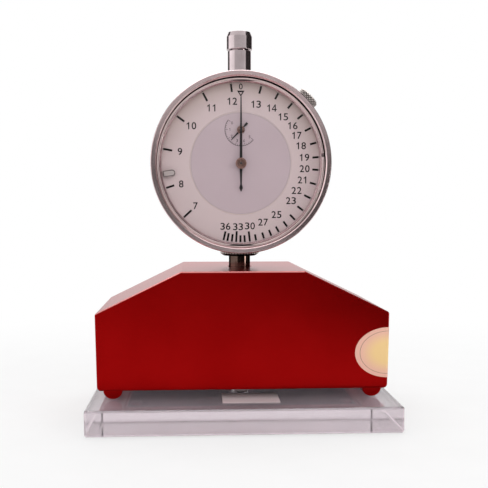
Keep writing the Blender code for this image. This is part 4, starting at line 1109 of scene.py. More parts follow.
DIGIT_CELL = 0.79
DIGIT_WIDTH = 0.65
DIGIT_DEPTH = 0.02
OWN_DIGITS: dict[str, list[Loop]] = {
    "1": [
        [(0.36, 0.0), (0.52, 0.0), (0.52, 1.0), (0.42, 1.0), (0.34, 0.9), (0.15, 0.79), (0.15, 0.64),
         (0.36, 0.75)],
    ],
    "4": [
        [(0.41, 0.0), (0.57, 0.0), (0.57, 0.22), (0.71, 0.22), (0.71, 0.36), (0.57, 0.36), (0.57, 1.0),
         (0.44, 1.0), (0.02, 0.36), (0.02, 0.22), (0.41, 0.22)],
        [(0.17, 0.36), (0.41, 0.36), (0.41, 0.73)],
    ],
}


def digit(figure: str) -> bpy.types.Mesh:
    """One plain digit, 1 high, in the middle of its cell.

    Args:
        figure: The digit.

    Returns:
        The mesh, as thick as DIGIT_DEPTH.
    """
    if figure in OWN_DIGITS:
        return plate_of(OWN_DIGITS[figure], 0.0, DIGIT_DEPTH)
    curve = bpy.data.curves.new("digit", "FONT")
    curve.body = figure
    curve.extrude = DIGIT_DEPTH / 2
    curve.resolution_u = 6
    curve.offset = 0.01
    obj = bpy.data.objects.new("work_digit", curve)
    bpy.context.scene.collection.objects.link(obj)
    mesh = settled(obj)
    low, high = extent(mesh)
    size = high - low
    mesh.transform(Matrix.Translation(-(low + high) / 2))
    mesh.transform(Matrix.Diagonal((DIGIT_WIDTH / size.x, 1.0 / size.y, 1.0, 1.0)))
    return moved(mesh, Matrix.Translation((DIGIT_CELL / 2, 0.5, DIGIT_DEPTH / 2)))


def extent(mesh: bpy.types.Mesh) -> tuple[Vector, Vector]:
    """The lowest and the highest corner of a mesh's box."""
    places = [vertex.co for vertex in mesh.vertices]
    return Vector(map(min, zip(*places))), Vector(map(max, zip(*places)))


def lettering(text: str, height: float, centre: Point, front: float, thickness: float) -> bpy.types.Mesh:
    """A printed number, centred on a place of the dial.

    Args:
        text: The number.
        height: Height of its digits.
        centre: Its middle.
        front: Height of the print's front.
        thickness: The print's thickness.

    Returns:
        The mesh.
    """
    cells = []
    for at, figure in enumerate(text):
        cells.append(moved(digit(figure), Matrix.Translation((DIGIT_CELL * at, 0.0, 0.0))))
    mesh = together(*cells)
    low, high = extent(mesh)
    mesh.transform(Matrix.Translation(-(low + high) / 2))
    mesh.transform(Matrix.Diagonal((height, height, thickness / DIGIT_DEPTH, 1.0)))
    return moved(mesh, Matrix.Translation((*centre, front - thickness / 2)))


@dataclass
class SettingPlate:
    """The clear block that the meter stands on, with the bare label on its top."""

    edge: float = 0.8
    corner: float = 0.9
    label_corner: float = 0.5

    def build(self, palette: Palette) -> None:
        """Builds the block and the label.

        Args:
            palette: The meter's finishes.
        """
        low, high = in_mm(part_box("setting_plate"))
        block = softened(footprint(low, high, self.corner, 6), self.edge, 4, 60.0)
        show("clear_setting_block", block, UPRIGHT, palette.block, "plate", ["setting_plate"])
        low, high = in_mm(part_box("plate_label"))
        label = footprint(low, high, self.label_corner, 4)
        show("bare_label", label, UPRIGHT, palette.paper, "plate", ["plate_label"])


@dataclass
class Housing:
    """The red housing with its feet, the bottom cover, its screws and the folded seal."""

    top_half: float = 19.9
    shoulder: float = 36.6
    base_half: float = 47.4
    edge: float = 0.42
    foot_spacing: float = 84.6
    foot_width: float = 6.3
    wall_top: float = 4.0
    wall_end: float = 4.0
    wall_side: float = 9.0
    boss_radius: float = 8.5
    boss_bottom: float = 30.3
    bore: float = 4.0
    seal_width: float = 10.9
    seal_height: float = 8.3
    seal_centre: float = 23.4
    seal_lift: float = 0.10
    seal_fold: float = 0.55

    def build(self, palette: Palette) -> None:
        """Builds the casting and the seal, and gives the other pieces of the housing their finish.

        Args:
            palette: The meter's finishes.
        """
        self.low, self.high = in_mm(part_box("housing"))
        self.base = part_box("bottom_cover")[0].z / MM - TOUCH_GAP
        shell = self.shell()
        show("red_housing", shell, UPRIGHT, palette.red, "meter", ["housing"])
        show("folded_seal", self.seal(), UPRIGHT, palette.seal, "meter", ["oval_seal"])
        keep(palette.blackened, "bottom_cover")
        keep(palette.brass, "guide_bush")
        names = [f"cover_screw_{number}" for number in range(1, 5)]
        keep(palette.steel, *names)

    def section(self) -> Loop:
        """The housing's front outline, without the feet."""
        half = [
            (self.base_half, self.base, 1.3),
            (self.high.x, self.shoulder, 1.0),
            (self.top_half, self.high.z, 1.0),
        ]
        return rounded(half + [(-x, y, radius) for x, y, radius in reversed(half)], 5)

    def foot(self, side: int) -> Loop:
        """The round-bottomed section of one foot, sunk a little into the housing.

        Args:
            side: 1 for the right foot and -1 for the left one.

        Returns:
            The loop's points.
        """
        middle = side * self.foot_spacing / 2
        half = self.foot_width / 2
        drop = self.base - self.low.z
        loop = [(middle + half, self.base + 0.8), (middle - half, self.base + 0.8)]
        for step in range(17):
            angle = math.pi * step / 16
            loop.append((middle - half * math.cos(angle), self.base - drop * math.sin(angle)))
        return loop

    def shell(self) -> bpy.types.Mesh:
        """The housing's casting."""
        depth = self.high.y
        outer = softened(plate_of([self.section()], -depth, depth), self.edge, 3, 50.0)
        moved(outer, RAISED)
        steps = []
        for side in (-1, 1):
            foot = softened(plate_of([self.foot(side)], 0.4 - depth, depth - 0.4), 0.4, 2, 50.0)
            steps.append(("UNION", moved(foot, RAISED)))
        ceiling = self.high.z - self.wall_top
        half = self.base_half - self.wall_side
        inner = depth - self.wall_end
        slope = (self.high.z - self.shoulder) / (self.high.x - self.top_half)
        top_half = self.top_half - self.wall_top * math.tan(math.atan(slope) / 2)
        hollow = [(half, self.low.z - 1.0), (half, ceiling - (half - top_half) * slope), (top_half, ceiling)]
        hollow += [(-x, y) for x, y in reversed(hollow)]
        steps.append(("DIFFERENCE", moved(plate_of([hollow], -inner, inner), RAISED)))
        width, bottom = self.boss_radius, self.boss_bottom
        boss = turned([(0, ceiling + 1), (width, ceiling + 1), (width, bottom), (0, bottom)], 64)
        steps.append(("UNION", boss))
        top = self.high.z + 1.0
        lip = 0.35
        bore = turned([(0, top), (self.bore + lip + 1.0, top), (self.bore, self.high.z - lip),
                       (self.bore, bottom - 1), (0, bottom - 1)], 64)
        steps.append(("DIFFERENCE", bore))
        low, high = in_mm(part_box("stem_set_screw"))
        radius = high.x + TOUCH_GAP
        hole = turned([(0, depth + 1), (radius, depth + 1), (radius, 0), (0, 0)], 32)
        moved(hole, Matrix.Translation((0, 0, (low.z + high.z) / 2)) @ ON_SIDE)
        steps.append(("DIFFERENCE", hole))
        return carved(outer, *steps)

    def seal_place(self, along: float, up: float, lift: float) -> Vector:
        """Where a point of the flat seal comes to lie on the housing.

        Args:
            along: Distance from the fold, positive round the corner.
            up: Height above the seal's middle.
            lift: Distance from the housing's skin.

        Returns:
            The place in millimetres.
        """
        height = self.seal_centre + up
        share = (height - self.base) / (self.shoulder - self.base)
        side = self.base_half + (self.high.x - self.base_half) * share
        fold = self.seal_fold
        half_arc = fold * math.pi / 4
        corner = Vector((side - fold, self.low.y + fold, height))
        radius = fold + lift
        if along < -half_arc:
            return corner + Vector((along + half_arc, -radius, 0))
        if along > half_arc:
            return corner + Vector((radius, along - half_arc, 0))
        angle = math.pi / 4 + along / fold
        return corner + Vector((radius * math.sin(angle), -radius * math.cos(angle), 0))

    def seal(self) -> bpy.types.Mesh:
        """The oval seal, folded round the housing's right front edge."""
        solid = bmesh.new()
        unrolled = solid.loops.layers.uv.new("unrolled")
        rows = 24
        bend = self.seal_fold * math.pi / 4 / self.seal_width
        across = {-math.cos(math.pi * step / 60) for step in range(61)}
        across = {u for u in across if abs(u) > bend * 1.1 or abs(u) > 1 - 1e-9}
        across |= {bend * step / 8 for step in range(-8, 9)}
        flat = {}
        grid = []
        for u in sorted(across):
            column = []
            for row in range(rows + 1):
                v = math.sqrt(max(0.0, 1 - u * u)) * (2 * row / rows - 1)
                if row and abs(u) > 1 - 1e-9:
                    point = column[0]
                else:
                    place = self.seal_place(u * self.seal_width, v * self.seal_height, self.seal_lift)
                    point = solid.verts.new(place)
                flat[point] = (u, v)
                column.append(point)
            grid.append(column)
        for left, right in zip(grid, grid[1:]):
            for row in range(rows):
                corners = list(dict.fromkeys([left[row], right[row], right[row + 1], left[row + 1]]))
                face = solid.faces.new(corners)
                for loop in face.loops:
                    loop[unrolled].uv = flat[loop.vert]
        mesh = bpy.data.meshes.new("seal")
        solid.to_mesh(mesh)
        solid.free()
        obj = temporary(mesh)
        paper = obj.modifiers.new("Paper", "SOLIDIFY")
        paper.thickness = 0.06
        paper.offset = -1.0
        return settled(obj)


@dataclass
class FeelerParts:
    """The feeler bar, its plunger and spring, and the gauge's spindle."""

    spring_radius: float = 4.6
    spring_wire: float = 0.5
    spring_turns: float = 6.5

    def build(self, palette: Palette) -> None:
        """Gives the pieces that move with the bar their finish, and builds the spring.

        Args:
            palette: The meter's finishes.
        """
        keep(palette.steel, "feeler_bar", "bar_screw", "plunger", "contact_tip", "spindle")
        low, high = in_mm(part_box("measuring_spring"))
        rise = high.z - low.z - 2 * self.spring_wire
        wire = coiled(self.spring_radius, self.spring_radius, rise, self.spring_turns, self.spring_wire)
        moved(wire, Matrix.Translation((0, 0, low.z + self.spring_wire)))
        show("wound_spring", wire, UPRIGHT, palette.spring, "meter", ["measuring_spring"])


@dataclass
class StemParts:
    """The stem, its nut and set screw, and the sleeve and cap above the gauge."""

    nut_teeth: int = 40
    nut_knurl: float = 0.5
    nut_root: float = 5.4
    nut_chamfer: float = 0.8
    nut_edge: float = 0.3
    bore: float = 2.3
    spigot: float = 3.0
    spigot_length: float = 3.5
    cap_seat: float = 3.2
    cap_plug: float = 2.9
    cap_depth: float = 4.0
    cap_roof: float = 2.0

    def build(self, palette: Palette) -> None:
        """Builds the pieces on the stem's axis.

        Args:
            palette: The meter's finishes.
        """
        self.stem(palette)
        self.nut(palette)
        self.sleeve(palette)
        self.cap(palette)
        keep(palette.blackened, "stem_set_screw")

    def stem(self, palette: Palette) -> None:
        """The polished lower stem."""
        low, high = in_mm(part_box("lower_stem"))
        bore, spigot, shoulder = self.bore, self.spigot, high.z - self.spigot_length
        profile = rounded(
            [(bore, high.z), (spigot, high.z, 0.2), (spigot, shoulder), (high.x, shoulder, 0.2),
             (high.x, low.z, 0.4), (bore, low.z)], 4)
        stem = turned(profile, STEM_FACETS)
        show("polished_stem", stem, UPRIGHT, palette.stem, "meter", ["lower_stem"])

    def nut(self, palette: Palette) -> None:
        """The knurled nut under the gauge."""
        low, high = in_mm(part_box("lock_nut"))
        rim, bore = high.x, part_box("lower_stem")[1].x / MM + TOUCH_GAP
        rows = 6
        shoulder = low.z + self.nut_chamfer
        lean = (rim - self.nut_root) / rows
        edge = self.nut_edge
        face = [(rim, high.z - edge + (shoulder - high.z + edge) * row / rows) for row in range(rows)]
        face += [(rim - lean * row, shoulder - self.nut_chamfer * row / rows) for row in range(rows + 1)]
        profile = [(bore, high.z - 0.2), (bore + 0.2, high.z), (rim - 0.5, high.z)]
        profile += face + [(bore + 0.2, low.z), (bore, low.z + 0.2)]
        # Below the knurl the plain chamfer reads as groove depth, so it takes the dark groove colour: painted
        # shade.
        nut = knurled(turned(profile, self.nut_teeth * 8), self.nut_teeth, self.nut_knurl, rim, 0.0)
        show("knurled_nut", nut, UPRIGHT, palette.worn_knurl, "stem_nut", ["lock_nut"])

    def sleeve(self, palette: Palette) -> None:
        """The ground tube above the gauge."""
        low, high = in_mm(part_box("upper_sleeve"))
        rim, seat, bore, spigot = high.x, self.cap_seat, self.bore, self.spigot
        shoulder, floor = low.z + self.spigot_length, high.z - self.cap_depth
        profile = rounded(
            [(seat, high.z), (rim, high.z, 0.25), (rim, shoulder, 0.15), (spigot, shoulder),
             (spigot, low.z, 0.2), (bore, low.z), (bore, floor), (seat, floor)], 4)
        sleeve = turned(profile, STEM_FACETS)
        show("ground_sleeve", sleeve, UPRIGHT, palette.tube, "meter", ["upper_sleeve"])

    def cap(self, palette: Palette) -> None:
        """The cap over the spindle's end."""
        low, high = in_mm(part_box("sleeve_cap"))
        rim, skirt, roof = high.x, low.z + self.cap_depth, high.z - self.cap_roof
        plug, bore = self.cap_plug, self.bore
        profile = rounded(
            [(0, high.z), (rim - 0.55, high.z, 0.15), (rim, high.z - 1.5, 0.3), (rim, skirt + 0.22, 0.12),
             (rim - 0.2, skirt, 0.05), (plug, skirt), (plug, low.z), (bore, low.z), (bore, roof),
             (0, roof)], 5)
        cap = turned(profile, STEM_FACETS)
        show("sleeve_end_cap", cap, UPRIGHT, palette.tube, "meter", ["sleeve_cap"])


@dataclass
class Gauge:
    """The dial gauge's shell: case, back cover, bezel, crystal, ring, marker and lock screw."""

    dial: Matrix
    case_wall: float = 1.7
    web: float = 4.0
    mouth: float = 27.95
    ledge: float = 26.45
    screw_turn: float = 45.0
    gap_angle: float = 84.0
    gap_width: float = 1.2
    ring_inner: float = 26.9
    ring_outer: float = 27.65
    ring_shift: Point = (-0.12, -0.26)
    marker_angle: float = 262.0
    tab_rim: float = 0.3
    tab_half: float = 1.05
    tab_reach: float = 4.1
    pane_inset: float = 0.6
    stem_hole: float = 3.3
    lock_hole: float = 1.8
    lock_setback: float = -1.3
    lock_radius: float = 3.85
    lock_length: float = 5.8
    lock_shank: float = 1.5
    lock_reach: float = 4.0
    lock_rows: int = 44
    lock_angle: float = 46.0
    lock_teeth: int = 26
    lock_knurl: float = 0.35

    def build(self, palette: Palette) -> None:
        """Builds the gauge's shell.

        Args:
            palette: The meter's finishes.
        """
        self.to_dial = self.dial.inverted()
        self.bezel(palette)
        self.case(palette)
        self.back(palette)
        self.lock_screw(palette)
        self.marker(palette)

    def span(self, node: str) -> tuple[float, float, float]:
        """A round node's outer radius, rear and front, in millimetres along the dial's axis."""
        low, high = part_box(node)
        return (high.x - low.x) / 2 / MM, -high.y / MM, -low.y / MM

    def bezel(self, palette: Palette) -> None:
        """The turning ring, the crystal and the split ring in front of it."""
        rim, rear, front = self.span("bezel")
        pane, pane_rear, pane_front = self.span("crystal")
        case_rim = self.span("gauge_case")[0]
        seat, dial_rear, dial_front = self.span("outer_dial")
        ledge_front = pane_rear - TOUCH_GAP
        bore, seat = case_rim + TOUCH_GAP, seat + TOUCH_GAP
        seat_front = dial_front + TOUCH_GAP
        profile = rounded(
            [(self.mouth, front - 0.45, 0.05), (self.mouth + 0.45, front, 0.05), (rim - 0.2, front, 0.15),
             (rim, front - 0.3, 0.1), (rim, rear, 0.3), (bore, rear, 0.1),
             (bore, dial_rear - 0.4), (seat, dial_rear - 0.4), (seat, seat_front),
             (self.ledge, seat_front, 0.1), (self.ledge, ledge_front - 0.4, 0.05),
             (self.ledge + 0.4, ledge_front, 0.05), (self.mouth, ledge_front)], 4)
        ring = turned(profile, RIM_FACETS)
        show("turning_bezel", ring, self.dial, palette.bezel, "bezel_ring", ["bezel"])
        pane -= self.pane_inset
        corners = [(0, pane_front), (pane, pane_front, 0.12), (pane, pane_rear, 0.12), (0, pane_rear)]
        glass = turned(rounded(corners, 3), ROUND_FACETS)
        show("clear_crystal", glass, self.dial, palette.pane, "bezel_ring", ["crystal"])
        _, ring_rear, ring_front = self.span("crystal_retainer")
        gap = math.degrees(self.gap_width / 2 / self.ring_outer)
        start, end = self.gap_angle + gap, self.gap_angle + 360 - gap
        outline = arc(self.ring_outer, start, end, 180, self.ring_shift)
        outline += arc(self.ring_inner, end, start, 180, self.ring_shift)
        split = softened(plate_of([outline], ring_rear, ring_front), 0.22, 4, 50.0)
        show("split_ring", split, self.dial, palette.ring, "bezel_ring", ["crystal_retainer"])

    def case(self, palette: Palette) -> None:
        """The round case with its two webs and its three holes."""
        rim, rear, front = self.span("gauge_case")
        bore = rim - self.case_wall
        inner = bore - self.web
        web_front = self.span("movement_plate")[1] - TOUCH_GAP
        profile = rounded(
            [(bore, front), (rim, front, 0.2), (rim, rear, 0.45), (inner, rear), (inner, rear + 1.0),
             (bore, rear + 1.0), (bore, web_front - 1.0), (inner, web_front - 1.0), (inner, web_front),
             (bore, web_front)], 4)
        steps = []
        stem_holes = [(angle, self.stem_hole, 0.0) for angle in (0.0, 180.0)]
        for angle, radius, depth in stem_holes + [(self.lock_angle, self.lock_hole, self.lock_setback)]:
            hole = turned([(0, rim + 1), (radius, rim + 1), (radius, bore - 1), (0, bore - 1)], 48)
            matrix = Matrix.Translation((0, 0, depth)) @ clockwise(angle)
            steps.append(("DIFFERENCE", moved(hole, matrix @ ON_SIDE)))
        shell = carved(turned(profile, RIM_FACETS), *steps)
        show("round_case", shell, self.dial, palette.case, "meter", ["gauge_case"])

    def back(self, palette: Palette) -> None:
        """The back cover and its four slotted screws."""
        rim, rear, front = self.span("back_cover")
        dish = rear + 0.12
        steps = [(rim, front), (rim, rear + 0.3, 0.25), (rim - 1.4, rear, 0.4), (rim - 1.9, dish, 0.05)]
        steps += [(rim - 6.6, dish, 0.05), (rim - 7.1, rear, 0.3), (0, rear), (0, front)]
        cover = turned(rounded(steps, 4), ROUND_FACETS)
        low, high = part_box("back_screw_1")
        head = (high.x - low.x) / 2 / MM
        place = math.hypot((high.x + low.x) / 2, (high.z + low.z) / 2 - self.dial.translation.z) / MM
        holes = ringed(turned([(0, 1), (1.1, 1), (1.1, -3), (0, -3)], 32), 4, place, self.screw_turn)
        moved(holes, Matrix.Translation((0, 0, front)))
        cover = carved(cover, ("DIFFERENCE", holes))
        show("dished_back_cover", cover, self.dial, palette.case, "meter", ["back_cover"])
        head_rear, tip = -high.y / MM, -low.y / MM
        base = rear - TOUCH_GAP
        profile = [(0, tip), (0.8, tip, 0.2), (0.8, base), (head, base, 0.1), (head, base - 0.45, 0.3)]
        profile += [(head * 0.6, head_rear, 0.4), (0, head_rear)]
        slot = box_mesh((-2.0, -0.2, head_rear - 1.0), (2.0, 0.2, head_rear + 0.35))
        screw = carved(turned(rounded(profile, 4), 40), ("DIFFERENCE", slot))
        screws = ringed(screw, 4, place, self.screw_turn)
        names = [f"back_screw_{number}" for number in range(1, 5)]
        show("slotted_back_screws", screws, self.dial, palette.steel, "meter", names)

    def lock_screw(self, palette: Palette) -> None:
        """The bezel's lock screw, with crossed knurling on its head."""
        inner = self.span("gauge_case")[0] + TOUCH_GAP
        rim, length, rows = self.lock_radius, self.lock_length, self.lock_rows
        shank, end = self.lock_shank, inner - self.lock_reach
        rise = length - 0.9
        face = [(rim, inner + 0.45 + rise * (1 - row / rows)) for row in range(rows + 1)]
        outer = inner + length
        profile = [(0, outer - 0.25), (rim - 1.5, outer - 0.25), (rim - 1.2, outer), (rim - 0.45, outer)]
        profile += face + [(rim - 0.45, inner), (shank, inner), (shank, end), (0, end)]
        plain = rim - self.lock_knurl
        smooth = turned(profile, self.lock_teeth * 10)
        head = knurled(smooth, self.lock_teeth, self.lock_knurl, rim, 0.30, plain)
        moved(head, Matrix.Translation((0, 0, self.lock_setback)) @ clockwise(self.lock_angle) @ ON_SIDE)
        nodes = ["bezel_lock_screw"]
        show("knurled_lock_screw", head, self.dial, palette.knurl, "bezel_lock", nodes)

    def marker(self, palette: Palette) -> None:
        """The clear limit marker with its rounded end, over a darker plate whose rim shows round it as a
        painted shade outline.
        """
        low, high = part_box("limit_marker")
        rear, front = -high.y / MM, -low.y / MM
        turn = clockwise(self.marker_angle)
        # The first form is the darker plate under the tab: a painted shade outline.
        forms = (
            ("limit_tab_edge", 0.0, front - 0.06, palette.tab_edge),
            ("clear_limit_tab", self.tab_rim, front, palette.tab),
        )
        for name, inset, top, finish in forms:
            tab = softened(plate_of([self.tab_outline(inset)], rear, top), 0.08, 2, 50.0)
            show(name, moved(tab, turn), self.dial, finish, "marker", ["limit_marker"])

    def tab_outline(self, inset: float) -> Loop:
        """The limit marker's outline, round at its inner end, before it is turned to its place.

        Args:
            inset: How far it lies inside the marker's own outline.

        Returns:
            The loop's points.
        """
        top, half, reach = self.ledge - TOUCH_GAP, self.tab_half, self.tab_reach
        middle = top - reach + half
        top, half = top - inset, half - inset
        spread = math.degrees(math.asin(half / top))
        outline = arc(top, -spread, spread, 6)
        for step in range(17):
            angle = math.pi * step / 16
            outline.append((half * math.cos(angle), middle - half * math.sin(angle)))
        return outline


@dataclass
class DialFace:
    """The outer dial with its scale, and the inner dial with its counter."""

    dial: Matrix
    print_depth: float = 0.03
    number_height: float = 2.34
    mark_outer: float = 26.25
    mark_width: float = 0.68
    bore: float = 17.05
    line_radius: float = 16.65
    scale_marks: tuple[tuple[int, float, float, Point | None], ...] = (
        (7, 226.9, 22.7, (-15.2, -14.07)), (8, 251.9, 23.4, (-19.94, -6.8)), (9, 280.4, 23.2, (-20.27, 3.87)),
        (10, 306.1, 23.2, (-16.4, 12.33)), (11, 331.4, 23.2, (-9.8, 18.2)), (12, 352.8, 23.55, (-2.8, 20.4)),
        (13, 15.0, 23.7, (5.13, 19.47)), (14, 28.4, 24.0, (10.4, 18.27)), (15, 40.8, 24.0, (14.2, 15.4)),
        (16, 52.1, 24.0, (17.4, 12.53)), (17, 63.3, 24.0, (18.8, 9.33)), (18, 74.6, 24.1, (20.26, 5.93)),
        (19, 85.2, 24.15, (21.4, 2.07)), (20, 94.6, 24.15, (21.46, -1.67)), (21, 105.2, 24.1, (20.6, -5.4)),
        (22, 116.1, 23.8, (18.8, -8.93)), (23, 126.6, 23.8, (16.93, -12.33)), (24, 135.7, 23.8, None),
        (25, 143.3, 24.05, (12.06, -17.0)), (26, 150.6, 24.1, None), (27, 156.8, 24.1, (7.53, -19.53)),
        (28, 162.6, 24.1, None), (29, 168.6, 24.1, None), (30, 173.3, 22.8, (3.06, -20.8)),
        (31, 177.1, 23.95, None), (32, 180.3, 23.95, None), (33, 183.5, 22.6, (-0.94, -21.07)),
        (34, 186.7, 23.7, None), (35, 190.0, 23.6, None), (36, 192.9, 23.2, (-5.2, -20.93)),
    )
    counter: Point = (0.0, SHAFT_SPACING)
    counter_radius: float = 5.3
    counter_line: float = 0.2
    counter_span: Point = (127.0, 308.0)
    counter_step: float = 36.0
    disc_rim: float = 17.0
    shaft_hole: float = 0.9
    zero_height: float = 1.9
    zero_place: Point = (0.0, 25.2)

    def build(self, palette: Palette) -> None:
        """Builds both dials and their print.

        Args:
            palette: The meter's finishes.
        """
        low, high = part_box("outer_dial")
        self.front, self.rear = -low.y / MM, -high.y / MM
        self.print_front = self.front + self.print_depth
        rim = (high.x - low.x) / 2 / MM
        section = [(self.bore, self.front), (rim, self.front), (rim, self.rear), (self.bore, self.rear)]
        outer = turned(section, ROUND_FACETS)
        show("outer_dial_ring", outer, self.dial, palette.dial, "bezel_ring", ["outer_dial"])
        self.scale(palette)
        self.inner(palette)

    def figures(self, number: int, height: float, place: Point) -> bpy.types.Mesh:
        """A number printed at a place on the dials."""
        return lettering(str(number), height, place, self.print_front, self.print_depth)

    def scale(self, palette: Palette) -> None:
        """The marks, the numbers and the zero mark of the outer dial."""
        marks = []
        numbers = []
        for number, turn, inner, place in self.scale_marks:
            x, y = clock((self.mark_outer + inner) / 2, turn)
            marks.append((x, y, turn, self.mark_outer - inner, self.mark_width))
            if place:
                numbers.append(self.figures(number, self.number_height, place))
        numbers.append(self.figures(0, self.zero_height, self.zero_place))
        outline = [(-1.25, 23.85), (1.25, 23.85), (0.0, 21.9)]
        window = [(-0.55, 23.35), (0.55, 23.35), (0.0, 22.55)]
        zero = plate_of([outline, window], self.front, self.print_front)
        bars = scattered(marks, self.print_front, self.print_depth)
        print_mesh = together(bars, zero, *numbers)
        show("scale_print", print_mesh, self.dial, palette.ink, "bezel_ring")

    def inner(self, palette: Palette) -> None:
        """The inner dial, its edge line and the counter's small scale."""
        holes = [circle(self.shaft_hole, 40), circle(self.shaft_hole, 40, self.counter)]
        disc = plate_of([circle(self.disc_rim, ROUND_FACETS)] + holes, self.rear, self.front)
        show("inner_dial_disc", disc, self.dial, palette.dial_inner, "meter", ["inner_dial"])
        line = [circle(self.line_radius + half, ROUND_FACETS) for half in (0.12, -0.12)]
        edge = plate_of(line, self.front, self.print_front)
        show("disc_edge_line", edge, self.dial, palette.line_ink, "meter")
        start, end = self.counter_span
        curve = arc(self.counter_radius + self.counter_line / 2, start, end, 60, self.counter)
        curve += arc(self.counter_radius - self.counter_line / 2, end, start, 60, self.counter)
        ring = plate_of([curve], self.front, self.print_front)
        marks = []
        digits = []
        for number in range(6):
            turn = end - self.counter_step * number
            for part in range(5 if number < 5 else 1):
                length = 0.9 if not part else 0.45
                at = turn - self.counter_step / 5 * part
                x, y = clock(self.counter_radius - length / 2, at, self.counter)
                marks.append((x, y, at, length, 0.8 * self.counter_line))
            place = clock(3.7, turn, self.counter)
            digits.append(self.figures(number, 0.95, place))
        bars = scattered(marks, self.print_front, self.print_depth)
        fine = together(ring, bars, *digits)
        show("counter_print", fine, self.dial, palette.pale_ink, "meter")


@dataclass
class Hands:
    """The main hand and the counter's hand, each with its hub."""

    dial: Matrix
    counter: Point = (0.0, SHAFT_SPACING)
    counter_turn: float = 224.0

    def outline(self, tip: float, tip_half: float, root_half: float, boss: float, tail: Loop) -> Loop:
        """A hand that points up.

        Args:
            tip: Length from the axis to the tip.
            tip_half: Half width at the tip.
            root_half: Half width at the boss.
            boss: The boss's radius.
            tail: The tail's right edge, from the boss downwards.

        Returns:
            The loop's points.
        """
        lean = math.degrees(math.asin(root_half / boss))
        right = [(0.0, tip + tip_half), (tip_half, tip)]
        right += arc(boss, lean, 180 - lean, 14) + tail
        return right + [(-x, y) for x, y in reversed(right) if x > 0]

    def build(self, palette: Palette) -> None:
        """Builds the hands and the hubs.

        Args:
            palette: The meter's finishes.
        """
        self.main(palette)
        self.small(palette)

    def main(self, palette: Palette) -> None:
        """The main hand, with a diamond at the tail's end, and its stepped hub."""
        low, high = in_mm(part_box("main_hand"))
        rear, front = -high.y, -low.y
        tail = [(0.27, -6.9), (0.62, -8.1), (0.12, -9.3)]
        hand = plate_of([self.outline(21.8, 0.175, 0.475, 1.2, tail), circle(0.5, 24)], rear, front)
        blade = softened(hand, 0.05, 2, 50.0)
        show("long_hand", blade, self.dial, palette.hand, "pointer", ["main_hand"])
        low, high = in_mm(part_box("main_hub"))
        rear, front, rim = -high.y, -low.y, high.x
        profile = rounded(
            [(0.5, front + 0.02), (0.62, front + 0.02, 0.05), (0.62, front - 0.1, 0.04),
             (rim - 0.45, front, 0.2), (rim, front - 0.22, 0.12), (rim, rear), (0.5, rear)], 4)
        hub = turned(profile, 72)
        show("stepped_hub", hub, self.dial, palette.hub, "pointer", ["main_hub"])

    def small(self, palette: Palette) -> None:
        """The counter's hand, with a blunt bar at the tail's end, and its hub."""
        low, high = in_mm(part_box("counter_hand"))
        rear, front = -high.y, -low.y
        tail = [(0.2, -1.9), (0.36, -2.1), (0.36, -3.1)]
        hand = plate_of([self.outline(4.7, 0.1, 0.3, 0.9, tail), circle(0.5, 24)], rear, front)
        place = Matrix.Translation((*self.counter, 0.0))
        moved(hand, place @ clockwise(self.counter_turn))
        show("short_hand", hand, self.dial, palette.hand, "counter", ["counter_hand"])
        low, high = in_mm(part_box("counter_hub"))
        rear, front, rim = -high.y, -low.y, high.x
        profile = rounded([(0.5, front), (rim, front, 0.15), (rim, rear), (0.5, rear)], 4)
        hub = moved(turned(profile, 48), place)
        show("short_hand_hub", hub, self.dial, palette.hub, "counter", ["counter_hub"])


@dataclass
class Movement:
    """The gauge's inner works, most of which keep their solids."""

    dial: Matrix
    take_up: Point = (0.0, -SHAFT_SPACING)

    def build(self, palette: Palette) -> None:
        """Dresses the works and winds the hairspring.

        Args:
            palette: The meter's finishes.
        """
        keep(palette.brass, "movement_plate", "rear_bridge", "bridge_pillar_1", "bridge_pillar_2")
        keep(palette.brass, "counter_wheel", "take_up_wheel")
        keep(palette.steel, "counter_arbor", "centre_arbor", "take_up_arbor")
        keep(palette.steel, "rack_pinion", "centre_pinion")
        keep(palette.steel, *[f"movement_screw_{number}" for number in (1, 2, 3)])
        keep(palette.steel, "bridge_screw_1", "bridge_screw_2")
        low, high = in_mm(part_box("hairspring"))
        spiral = coiled(0.8, 4.2, 0.0, 4.0, 0.09)
        moved(spiral, Matrix.Translation((*self.take_up, -(low.y + high.y) / 2)))
        nodes = ["hairspring"]
        show("wound_hairspring", spiral, self.dial, palette.spring, "take_up", nodes)


